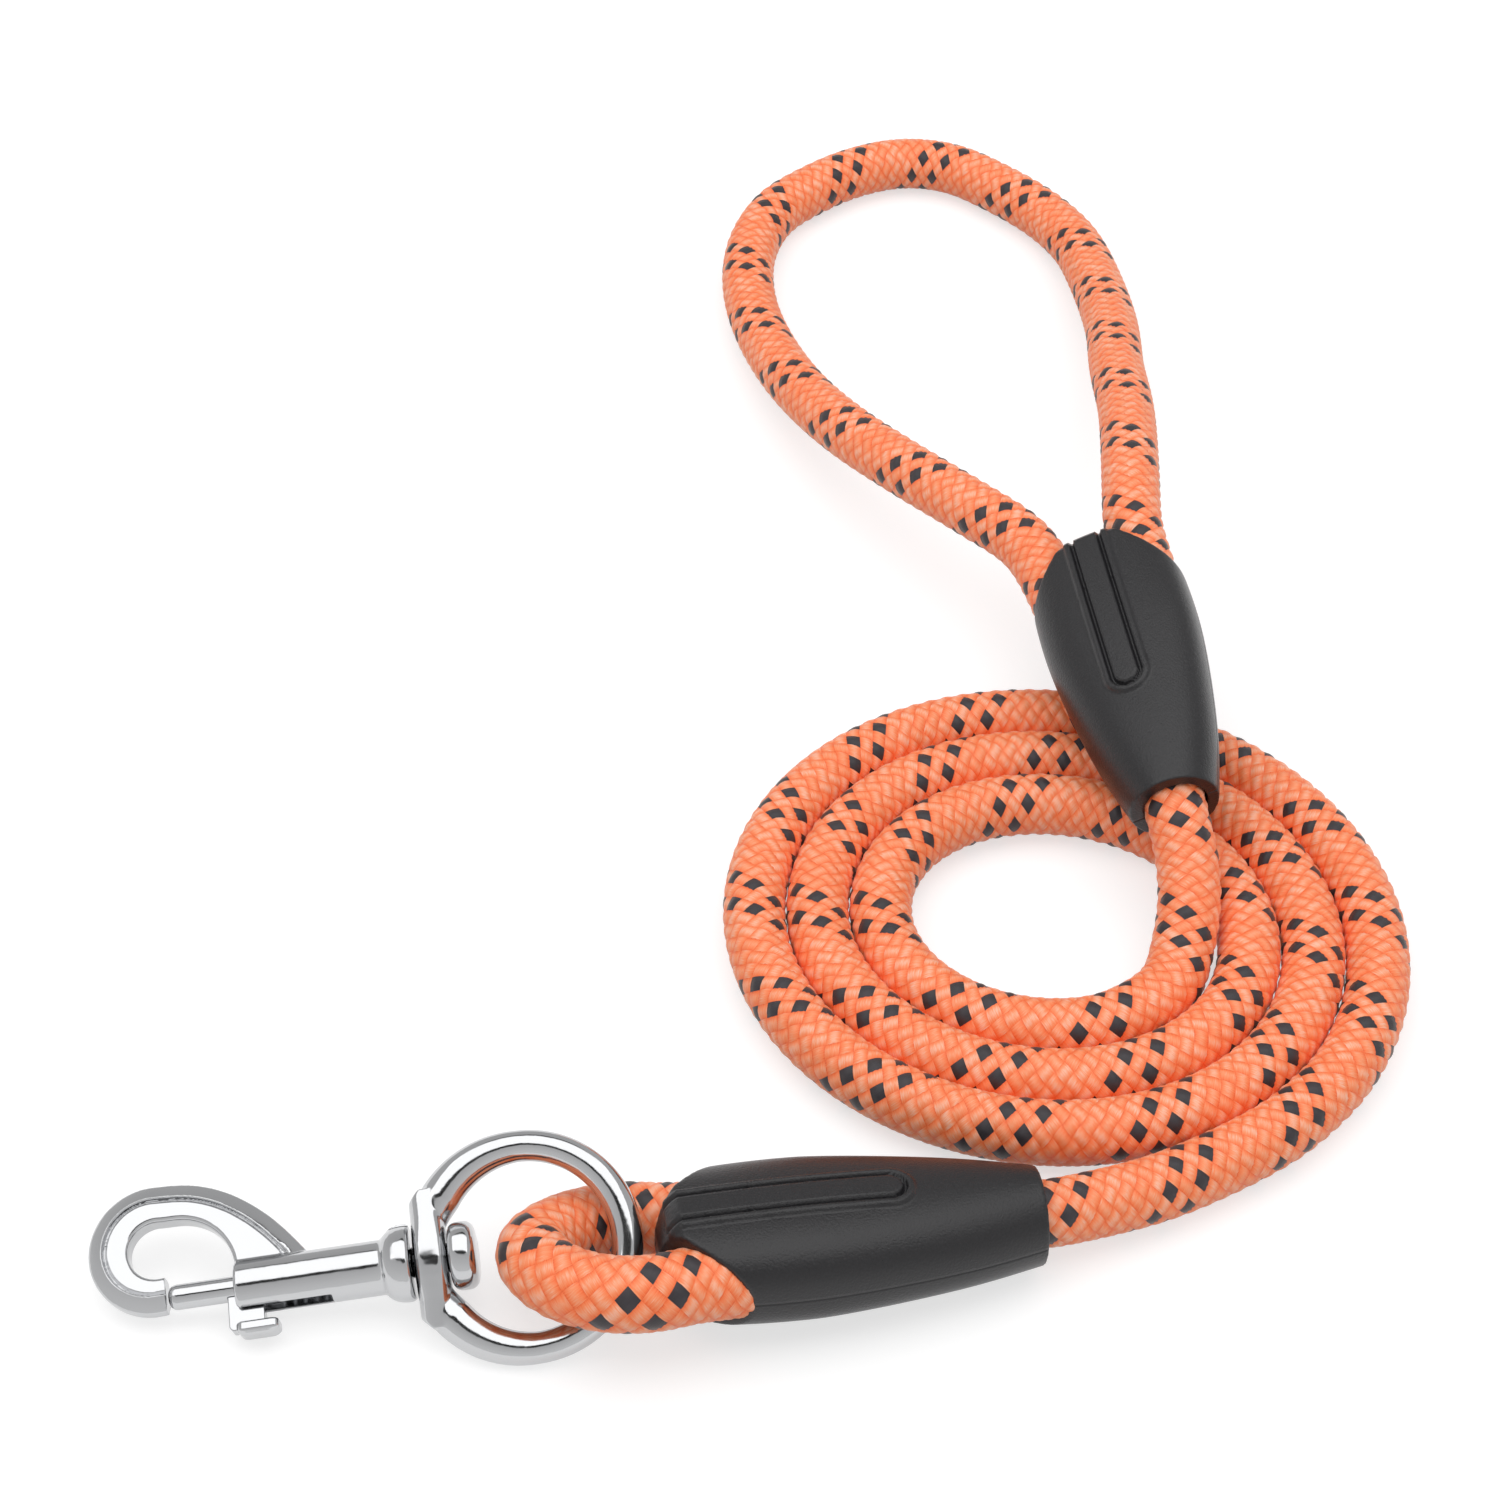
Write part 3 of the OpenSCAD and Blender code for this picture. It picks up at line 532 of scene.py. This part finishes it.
def two_rope_rings(profile):
    """Rings round both ropes at the crimp, from [x, radius about either rope] points."""
    turn = np.linspace(0, 2 * np.pi, SLEEVE_SIDES, endpoint=False)
    c, s = np.cos(turn), np.sin(turn)
    return np.stack([np.column_stack([np.full(SLEEVE_SIDES, CRIMP_X + x),
                                      np.sign(c) * CRIMP_Y + r * c, r * s]) for x, r in profile])


def sleeve(name, at, rope_path):
    """The tunnels follow the rope itself, with a pocket for the crimp; the edge of the broad end
    falls back where the two ropes leave it, and the tongue is raised on the finished skin."""
    path = in_own_frame(rope_path, at)
    near = (path[:, 0] > -6) & (path[:, 0] < 74) & (np.abs(path[:, 1]) < 20)
    split = np.flatnonzero(np.diff(near.astype(int)))
    leg = path[:split[0] + 1]
    lead = np.vstack([[[-6, 0.1, 0], [0, 0, 0]], leg[leg[:, 0] > 2]])
    tail = path[split[1] + 1:]
    pocket = two_rope_rings([[-4.4, 7.1], [4.4, 7.1]])
    corners = [plate([[72, side * 3.3], [66.4, side * 3.5], [64.4, side * 5.2], [61.5, side * 8.2],
                      [58, side * 11.4], [54.5, side * 14.2], [51, side * 16.3], [49, side * 18],
                      [72, side * 18]], -14, 14) for side in (-1, 1)]
    mesh = moulded(name, [sleeve_skin()],
                   [corners, [swept(lead[::3], SLEEVE_HOLE_R)], [swept(tail[::3], SLEEVE_HOLE_R)],
                    [skin(pocket)]], grain=0.34, softening=3)
    points = points_of(mesh)
    x, y, z = points.T
    nose = TONGUE_FROM + TONGUE_HALF_W
    inside = TONGUE_HALF_W - np.where(x > nose, np.abs(y), np.hypot(np.minimum(x - nose, 0), y))
    rise = TONGUE_RISE * np.interp(inside, TONGUE_IN, TONGUE_SHARE)
    points[:, 2] += np.where((z > TONGUE_ABOVE) & (inside > 0), rise, 0)
    mesh.vertices.foreach_set("co", points.ravel())
    settle(mesh, at, "lead", [name.replace("_moulding", "")], SLEEVE_PLASTIC)


def moulded_black():
    """Fine spark-eroded grain, a shade lighter on its peaks, and the join of the two halves."""
    material, tree, m, shader = new_finish("moulded_black")
    own = tree.nodes.new("ShaderNodeAttribute")
    own.attribute_name = "own_place"
    height = node(tree, "ShaderNodeSeparateXYZ", Vector=own.outputs["Vector"]).outputs["Z"]
    grain = node(tree, "ShaderNodeTexNoise", Vector=own.outputs["Vector"], Scale=2400.0, Detail=3.0,
                 Roughness=0.6)
    tone = tree.nodes.new("ShaderNodeValToRGB")
    tone.color_ramp.elements[0].color = (0.004, 0.0038, 0.0045, 1)
    tone.color_ramp.elements[1].color = (0.016, 0.0145, 0.017, 1)
    tree.links.new(grain.outputs["Fac"], tone.inputs[0])
    tree.links.new(tone.outputs[0], shader.inputs["Base Color"])
    tree.links.new(m("MULTIPLY_ADD", grain.outputs["Fac"], 0.2, 0.22), shader.inputs["Roughness"])
    join = m("SMOOTH_MIN", m("MULTIPLY", m("ABSOLUTE", height), 2500), 1, 0.4)
    bump = node(tree, "ShaderNodeBump", Strength=0.9, Distance=0.00012,
                Height=m("MULTIPLY_ADD", join, 1.6, grain.outputs["Fac"]))
    tree.links.new(bump.outputs[0], shader.inputs["Normal"])
    return material


SLEEVE_PLASTIC = moulded_black()
sleeve("hook_sleeve_moulding", HOOK_SLEEVE_AT, hook_path)
sleeve("handle_sleeve_moulding", HANDLE_SLEEVE_AT, handle_path)

# ---- crimps and rope tips -------------------------------------------------------------------
# Out of sight in the sleeves: a drawn aluminium band squeezed round both ropes, and past it the
# tail's tip, melted to a hard dark bead so that the braid can't open.


def simple_finish(name, colour, metallic, roughness, scale, spread, depth):
    """One colour, mottled in its roughness and its surface."""
    material, tree, m, shader = new_finish(name)
    own = tree.nodes.new("ShaderNodeAttribute")
    own.attribute_name = "own_place"
    mottle = node(tree, "ShaderNodeTexNoise", Vector=own.outputs["Vector"], Scale=scale, Detail=2.0)
    shader.inputs["Metallic"].default_value = metallic
    shader.inputs["Base Color"].default_value = (*colour, 1)
    mottled = m("MULTIPLY_ADD", mottle.outputs["Fac"], spread, roughness)
    tree.links.new(mottled, shader.inputs["Roughness"])
    bump = node(tree, "ShaderNodeBump", Strength=depth, Distance=0.0004, Height=mottle.outputs["Fac"])
    tree.links.new(bump.outputs[0], shader.inputs["Normal"])
    return material


DRAWN_ALUMINIUM = simple_finish("drawn_aluminium", (0.75, 0.76, 0.78), metallic=1, roughness=0.3,
                                scale=900.0, spread=0.15, depth=0.2)
MELTED_NYLON = simple_finish("melted_nylon", (0.045, 0.014, 0.008), metallic=0, roughness=0.22,
                             scale=1400.0, spread=0.3, depth=0.7)


def crimp(name, at):
    """A short band with its edges rolled in, closed round both ropes."""
    band = two_rope_rings([[-4, 6.1], [-4, 6.55], [-3.75, 6.8], [3.75, 6.8], [4, 6.55], [4, 6.1],
                           [3.8, 5.9], [-3.8, 5.9]])
    settle(mesh_of(name + "_band", [skin(band, round_again=True)]), at, "lead", [name], DRAWN_ALUMINIUM)


def rope_tip(name, at):
    """A bead with a few lumps, where the strands ran together."""
    points, faces = turned([[24.04, 0.4], [24.1, 2.2], [24.3, 3.5], [24.7, 4.5], [25.3, 5.05],
                            [26.2, 5.3], [27.0, 5.4], [27.04, 0.4]])
    lumps = 1 + 0.03 * np.sin(3 * np.arctan2(points[:, 2], points[:, 1]) + points[:, 0])
    points = np.column_stack([points[:, 0], points[:, 1] * lumps + CRIMP_Y, points[:, 2] * lumps])
    settle(mesh_of(name + "_bead", [(points, faces)]), at, "lead", [name], MELTED_NYLON)


for end, at in (("hook", HOOK_SLEEVE_AT), ("handle", HANDLE_SLEEVE_AT)):
    crimp(end + "_crimp", at)
    rope_tip(end + "_tail_seal", at)

# ---- swivel ring ----------------------------------------------------------------------------
# A zinc die casting, nickel plated: a round ring grown into a flat collar that is bored for
# the rivet.

RING_AT = ([-38.2, -132.9, 11.7], 5.8, 6, 30)
RING_R, RING_WIRE, BOW_TURN = 17.3, 5.5, 143
COLLAR_X, COLLAR_HALF_W, COLLAR_HALF_L = -16.4, 2.95, 12
COLLAR_SIDES = 64
COLLAR_BORE_R = 2.55

PLATED = simple_finish("plated_zinc", (0.54, 0.545, 0.555), metallic=1, roughness=0.06,
                       scale=240.0, spread=0.12, depth=0.15)


def collar_bar():
    """A bar along Y, highest and flattest sided about its bore, round backed towards the wire;
    its ends are cut back beside the snap."""
    turn = np.linspace(0, 2 * np.pi, COLLAR_SIDES, endpoint=False)
    c, s = np.cos(turn), np.sin(turn)
    rings = []
    for y in np.linspace(-COLLAR_HALF_L, COLLAR_HALF_L, 49):
        out = abs(y)
        high = np.interp(out, [0, 1.5, 3, 5, 7, 9, 12], [5.2, 5.13, 4.93, 4.5, 4.05, 3.65, 3.1])
        across = COLLAR_HALF_W * np.sign(c) * np.abs(c) ** np.interp(out, [0, 3, 7], [0.42, 0.5, 0.75])
        up = high * np.sign(s) * np.abs(s) ** np.interp(out, [0, 3, 7], [0.55, 0.62, 0.9])
        x = np.maximum(across, np.interp(out, [9.8, COLLAR_HALF_L], [-COLLAR_HALF_W, -0.75]))
        rings.append(np.column_stack([COLLAR_X + x, np.full(COLLAR_SIDES, y), up]))
    return skin(np.stack(rings))


def swivel_ring():
    """The wire thickens into shoulders towards the collar, and its ends turn in behind it."""
    turn = np.radians(np.linspace(-BOW_TURN, BOW_TURN, 120))
    root = np.array([[-14.9, 8.9], [-15.75, 7.3], [-16.2, 5.8], [-16.4, 4.2], [-16.4, 2.6]])
    bow = np.column_stack([RING_R * np.cos(turn), RING_R * np.sin(turn)])
    line = np.vstack([root[::-1] * [1, -1], bow, root])
    angle = np.abs(np.degrees(np.arctan2(line[:, 1], line[:, 0])))
    shoulder = np.interp(angle, [90, 125, BOW_TURN, 152, 160, 166, 172],
                         [0, 0.6, 0.85, 0.6, 0.1, -0.2, -0.5])
    wire = swept(np.column_stack([line, 0 * angle]), RING_WIRE / 2 + shoulder, sides=40)
    bore = turned([[COLLAR_X - 6, COLLAR_BORE_R], [COLLAR_X + 6, COLLAR_BORE_R]])
    return moulded("ring_casting", [wire, collar_bar()], [[bore]], grain=0.22, softening=10)


settle(swivel_ring(), RING_AT, "ring", ["swivel_ring"], PLATED)

# ---- snap -----------------------------------------------------------------------------------
# The snap's body is one plated casting: a flat hook with a raised rounded rim along its outside,
# a slotted barrel for the bolt, and a flange that turns on the ring's collar.

# The snap lies on the ring's own axis, turned a little against it on the swivel
SNAP_TURN = -12
SNAP_AT = (*RING_AT[:3], RING_AT[3] + SNAP_TURN)
FLANGE_X, MOUTH_X, NOSE_X, BARREL_R = -19.7, -50.1, -62.2, 4.75
BOLT_BORE_R, BOLT_BORE_LEN, RIVET_R = 2.3, 22.8, 2.5
SLOT_LEN, SLOT_LOW, SLOT_HIGH = 16.3, -1.5, 2.1
RIM_W, RIM_HALF_H, GROOVE_HALF_H, WEB_HALF_H = 2.6, 2.75, 1.5, 2.2
BEND_X, BEND_Y, BEND_R = -63.9, 8.7, 11.5
HOLE_X, HOLE_Y, HOLE_R = -63.3, 8.3, 5
SLOPE_X, SLOPE_Y, SLOPE_R = -60.2, 3.1, 10.1


def arc(x, y, r, start, end, count):
    """Points on an arc about x, y, between two angles in degrees."""
    turn = np.radians(np.linspace(start, end, count))
    return np.column_stack([x + r * np.cos(turn), y + r * np.sin(turn)])


def evenly(line, count):
    """That many points at even steps along a line."""
    run = np.concatenate([[0], np.cumsum(np.linalg.norm(np.diff(line, axis=0), axis=1))])
    return np.column_stack([np.interp(np.linspace(0, run[-1], count), run, line[:, k]) for k in (0, 1)])


def off(points, line):
    """How far each point is from a line."""
    a, b = line[:-1], line[1:]
    along = b - a
    reach = points[:, None] - a
    t = np.clip((reach * along).sum(2) / (along ** 2).sum(1), 0, 1)[..., None]
    return np.linalg.norm(reach - t * along, axis=2).min(1)


def web_height(flat, outer, inner):
    """Half the hook's thickness: a quarter round rim outside, a groove beside it, then the flat
    web with a worn edge at the eye."""
    rim, eye = off(flat, outer), off(flat, inner)
    slope = np.minimum(rim / RIM_W, 1)
    high = np.where(rim < RIM_W, 1 + (RIM_HALF_H - 1) * slope * (1.25 - 0.25 * slope),
                    np.interp(rim, [RIM_W, 3.0, 3.5], [RIM_HALF_H, GROOVE_HALF_H, WEB_HALF_H]))
    worn_edge = 1.25 + np.sqrt(np.clip(1 - (1 - np.minimum(eye, 1)) ** 2, 0, 1))
    return np.minimum(high, worn_edge + (eye > 1) * 2)


def hook_strip():
    """The hook in sections from its nose, round the eye and down to the barrel, with the lines
    of its outside and of its eye."""
    back = smooth_line(np.array([[-63.9, 20.2, 0], [-60, 20, 0], [-57, 19.6, 0], [-54.5, 18.9, 0],
                                 [-52, 17.9, 0], [-49.6, 16.6, 0], [-47, 14.8, 0], [-44.6, 12.8, 0],
                                 [-42.2, 10.4, 0], [-40, 7.8, 0], [-37.4, 4.4, 0]]), 0.3, 0.9)[:, :2]
    bend = np.vstack([[[NOSE_X, -2.7]], arc(BEND_X, BEND_Y, BEND_R, 268, 92, 90)])
    eye_bend = arc(HOLE_X, HOLE_Y, HOLE_R, 283, 80, 60)
    eye_slope = arc(SLOPE_X, SLOPE_Y, SLOPE_R, 88, 6, 60)
    outer, inner = np.vstack([bend, back]), np.vstack([eye_bend, eye_slope])
    out = np.vstack([evenly(bend, 60), evenly(np.vstack([bend[-1:], back]), 61)[1:],
                     [[-36.6, 3], [-36.2, 1.6]]])
    into = np.vstack([evenly(eye_bend, 60), evenly(np.vstack([eye_bend[-1:], eye_slope]), 61)[1:],
                      [[-49.9, 3], [-49.9, 1.6]]])
    share = 0.5 - 0.5 * np.cos(np.linspace(0, np.pi, 41))
    rings = []
    for o, i in zip(out, into):
        flat = o + share[:, None] * (i - o)
        high = web_height(flat, outer, inner)
        rings.append(np.vstack([np.column_stack([flat, high]), np.column_stack([flat, -high])[::-1]]))
    return skin(np.stack(rings)), outer, inner


def crisp(mesh, outer, inner):
    """Brings the casting's web back to its exact height, away from its edges and the barrel, so
    that the groove beside the rim stays sharp."""
    points = points_of(mesh)
    x, y, z = points.T
    on_web = np.flatnonzero((np.abs(z) > 1.3) & ((x < MOUTH_X - 0.5) | (y > BARREL_R + 0.5)))
    flat = points[on_web, :2].astype(float)
    rim, eye = off(flat, outer), off(flat, inner)
    ahead, above = MOUTH_X - flat[:, 0], flat[:, 1] - BARREL_R
    from_barrel = np.where(ahead > 0, np.hypot(ahead, np.maximum(above, 0)), above)
    # None of the move near the outside, the eye and the barrel, and all of it further in
    sure = (np.clip((rim - 0.9) / 0.5, 0, 1) * np.clip((eye - 1.1) / 0.5, 0, 1)
            * np.clip((from_barrel - 0.6) / 0.8, 0, 1))
    z = points[on_web, 2]
    points[on_web, 2] += sure * (np.sign(z) * web_height(flat, outer, inner) - z)
    mesh.vertices.foreach_set("co", points.ravel())


def snap_casting():
    """The hook and the barrel in one, with the bolt's bore and slot and the rivet's seat."""
    barrel = turned([[MOUTH_X, 0.5], [MOUTH_X, BARREL_R - 0.4], [MOUTH_X + 0.4, BARREL_R],
                     [FLANGE_X - 5.2, BARREL_R], [FLANGE_X - 4.9, 4.95], [FLANGE_X - 4.6, 5.35],
                     [FLANGE_X - 4, 5.85], [FLANGE_X - 3.2, 6.25], [FLANGE_X - 2.2, 6.5],
                     [FLANGE_X - 1, 6.6], [FLANGE_X - 0.4, 6.5], [FLANGE_X, 6.1], [FLANGE_X, 0.5]])
    bore = turned([[MOUTH_X - 1, BOLT_BORE_R], [MOUTH_X + BOLT_BORE_LEN, BOLT_BORE_R]])
    seat = turned([[FLANGE_X - 6.1, RIVET_R], [FLANGE_X + 1, RIVET_R]])
    front, back = MOUTH_X - 1, MOUTH_X + SLOT_LEN
    slot = plate([[front, -8], [back, -8], [back, 0], [front, 0]], SLOT_LOW, SLOT_HIGH)
    hook, outer, inner = hook_strip()
    mesh = moulded("snap_casting", [hook, barrel], [[bore], [seat], [slot]], grain=0.2, softening=7)
    crisp(mesh, outer, inner)
    return mesh


settle(snap_casting(), SNAP_AT, "snap", ["snap_body"], PLATED)

# ---- rivet ----------------------------------------------------------------------------------
# A headed pin pressed into the flange: the collar turns on its shank, between the flange and
# the low rounded head.

HEAD_X = -13.1

rivet = turned([
    [FLANGE_X - 6, 0.4], [FLANGE_X - 6, 2.1], [FLANGE_X - 5.6, RIVET_R], [HEAD_X, RIVET_R],
    [HEAD_X, 4.9], [-12.9, 5.3], [-12.5, 5.65], [-12, 5.83], [-11.4, 5.9], [-10.4, 5.9], [-9.8, 5.8],
    [-9.3, 5.5], [-8.95, 5.1], [-8.7, 4.5], [-8.55, 3.4], [-8.5, 1.8], [-8.5, 0.4]])
settle(mesh_of("rivet", [rivet]), SNAP_AT, "snap", ["swivel_rivet"], PLATED)

# ---- bolt and thumb knob --------------------------------------------------------------------
# The bolt is a turned pin with a rounded tip that shuts against the nose. The knob is pressed
# into it: a flat stem through the slot, with a small oblong pad for the thumb.

BOLT_R = 2.2
STEM_FROM, STEM_TO, ROOT_Y = -51.7, -45.5, -1.7
PAD_X, PAD_HALF_L, PAD_HALF_W, PAD_CORNER_R = -46.7, 3.6, 2.3, 1.1
PAD_SIDES = 72

bolt = turned([[-61.9, 0.4], [-61.85, 1.2], [-61.6, 1.7], [-61.1, 2.08], [-60.5, BOLT_R],
               [-43.3, BOLT_R], [-42.9, 1.8], [-42.9, 0.4]], sides=48)
stem_flat = plate([[STEM_FROM, ROOT_Y], [STEM_TO, ROOT_Y], [STEM_TO, -4], [STEM_FROM, -4]], -3, 3)
bolt_mesh = moulded("bolt_pin", [bolt], [[stem_flat]], grain=0.12, softening=1)
settle(bolt_mesh, SNAP_AT, "bolt", ["bolt"], PLATED)


def thumb_knob():
    """An oblong pad with rounded corners and a bevelled face, on a thin stem with a pin."""
    turn = np.linspace(0, 2 * np.pi, PAD_SIDES, endpoint=False)
    c, s = np.cos(turn), np.sin(turn)
    x = np.sign(c) * (PAD_HALF_L - PAD_CORNER_R) + PAD_CORNER_R * c
    z = np.sign(s) * (PAD_HALF_W - PAD_CORNER_R) + PAD_CORNER_R * s
    rings = []
    for y, inset in ((-6.5, 0.5), (-6.7, 0.15), (-6.95, 0), (-8.0, 0), (-8.3, 0.12), (-8.8, 0.62),
                     (-8.95, 0.95)):
        rings.append(np.column_stack([PAD_X + x * (1 - inset / PAD_HALF_L), np.full(PAD_SIDES, y),
                                      z * (1 - inset / PAD_HALF_W)]))
    stem = plate([[STEM_FROM, ROOT_Y], [STEM_FROM, -7.2], [STEM_FROM + 0.6, -7.9], [STEM_TO, -7.9],
                  [STEM_TO, ROOT_Y]], -1.3, 1.3)
    pin_points, pin_faces = turned([[1.3, 0.4], [1.3, 0.8], [8, 0.8], [8, 0.4]], sides=24)
    middle = (STEM_FROM + STEM_TO) / 2
    pin = np.column_stack([middle - pin_points[:, 1], -pin_points[:, 0] + 0.4, pin_points[:, 2]])
    return moulded("thumb_knob_casting", [skin(np.stack(rings)), stem, (pin, pin_faces)], [],
                   grain=0.12, softening=3)


settle(thumb_knob(), SNAP_AT, "bolt", ["thumb_knob"], PLATED)

# ---- spring ---------------------------------------------------------------------------------
# A small spring wound from drawn steel wire, in the barrel between the bolt and the end of its
# bore. It shortens as the bolt is pulled back.

SPRING_FROM, SPRING_TO = -42.5, -27.7
SPRING_TURNS, SPRING_MID_R, SPRING_WIRE_R = 8.0, 1.75, 0.3


def spring_winding():
    """A round wire along a helix that stands on Z."""
    tree = new_group("spring_winding", "Spring", Turns="Float", Mid_radius="Float",
                     Wire_radius="Float", Length="Float", Material="Material")
    given = tree.nodes.new("NodeGroupInput").outputs
    helix = node(tree, "GeometryNodeCurveSpiral", Resolution=32, Rotations=given["Turns"],
                 Start_Radius=given["Mid radius"], End_Radius=given["Mid radius"], Height=given["Length"])
    section = node(tree, "GeometryNodeCurvePrimitiveCircle", Resolution=12, Radius=given["Wire radius"])
    tube = node(tree, "GeometryNodeCurveToMesh", Curve=helix.outputs["Curve"],
                Profile_Curve=section.outputs["Curve"], Fill_Caps=True)
    whole = node(tree, "GeometryNodeRealizeInstances", Geometry=tube.outputs["Mesh"])
    dressed = node(tree, "GeometryNodeSetMaterial", Geometry=whole.outputs[0], Material=given["Material"])
    tree.links.new(dressed.outputs[0], tree.nodes.new("NodeGroupOutput").inputs[0])
    return tree


SPRING_WIRE = simple_finish("spring_wire", (0.5, 0.51, 0.53), metallic=1, roughness=0.28,
                            scale=1500.0, spread=0.12, depth=0.1)


def spring():
    """Wound standing, then laid along the barrel. It rides on the bolt, with a mesh of its own."""
    carrier = bpy.data.objects.new("spring_line", bpy.data.meshes.new("spring_line"))
    mesh = grown(carrier, spring_winding(), Turns=SPRING_TURNS, Mid_radius=SPRING_MID_R,
                 Wire_radius=SPRING_WIRE_R, Length=SPRING_TO - SPRING_FROM, Material=SPRING_WIRE)
    mesh.name = "bolt_return_spring"
    x, y, z = points_of(mesh).T
    mesh.vertices.foreach_set("co", np.column_stack([SPRING_FROM + z, x, y]).astype(np.float32).ravel())
    piece = settle(mesh, SNAP_AT, "bolt", ["bolt_spring"], SPRING_WIRE)
    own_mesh(piece)


spring()

# ---- floor and light ------------------------------------------------------------------------
# The lead lies on a wide white table, in a pale room with one wide soft lamp overhead. The
# table glows a little, which keeps it white with a soft shadow under the lead.

TABLE_HALF = 3
floor_mesh = bpy.data.meshes.new("floor")
floor_mesh.from_pydata([(-TABLE_HALF, -TABLE_HALF, 0), (TABLE_HALF, -TABLE_HALF, 0),
                        (TABLE_HALF, TABLE_HALF, 0), (-TABLE_HALF, TABLE_HALF, 0)], [], [(0, 1, 2, 3)])
floor = bpy.data.objects.new("floor", floor_mesh)
bpy.context.scene.collection.objects.link(floor)


def white_table():
    """Plain white where it is seen or mirrored, with the lead's shadow on it."""
    material, tree, m, shader = new_finish("white_table")
    shader.inputs["Base Color"].default_value = (0.5, 0.5, 0.5, 1)
    shader.inputs["Roughness"].default_value = 0.9
    shader.inputs["Specular IOR Level"].default_value = 0
    rays = tree.nodes.new("ShaderNodeLightPath").outputs
    seen = m("ADD", m("ADD", rays["Is Camera Ray"], rays["Is Glossy Ray"]), rays["Is Transmission Ray"])
    shader.inputs["Emission Color"].default_value = (1, 1, 1, 1)
    glow = m("MULTIPLY", m("MINIMUM", seen, 1), 0.62)
    tree.links.new(glow, shader.inputs["Emission Strength"])
    return material


floor_mesh.materials.append(white_table())


def studio():
    """Pale walls all round, a little darker at the back, and a black frame about the lamp."""
    world = bpy.data.worlds.new("studio")
    world.use_nodes = True
    tree = world.node_tree
    m = maths(tree)
    ways = tree.nodes.new("ShaderNodeTexCoord").outputs["Generated"]
    way = node(tree, "ShaderNodeSeparateXYZ", Vector=ways).outputs
    towards_lamp = m("ADD", m("MULTIPLY", way["Y"], 0.13), m("MULTIPLY", way["Z"], 0.99))
    walls = tree.nodes.new("ShaderNodeValToRGB")
    walls.color_ramp.elements[0].color = (0.74, 0.74, 0.74, 1)
    walls.color_ramp.elements[1].color = (0.03, 0.03, 0.03, 1)
    walls.color_ramp.elements[1].position = 0.775
    walls.color_ramp.elements.new(0.745).color = (0.6, 0.6, 0.6, 1)
    tree.links.new(towards_lamp, walls.inputs[0])
    background = tree.nodes["Background"].inputs
    tree.links.new(walls.outputs[0], background["Color"])
    tree.links.new(m("MULTIPLY_ADD", way["Y"], -0.15, 1), background["Strength"])
    return world


bpy.context.scene.world = studio()

lamp = bpy.data.lights.new("overhead", "AREA")
lamp.shape = "RECTANGLE"
lamp.size = 2.2
lamp.size_y = 1.43
lamp.energy = 17.8
LAMP_AT = Vector((-0.05, 0.215, 1.25))
below = Vector((-0.05, 0.215, 0))
overhead = bpy.data.objects.new("overhead", lamp)
overhead.location = LAMP_AT
overhead.rotation_euler = (below - LAMP_AT).to_track_quat("-Z", "Y").to_euler()
bpy.context.scene.collection.objects.link(overhead)

bpy.context.scene.view_settings.view_transform = "Standard"
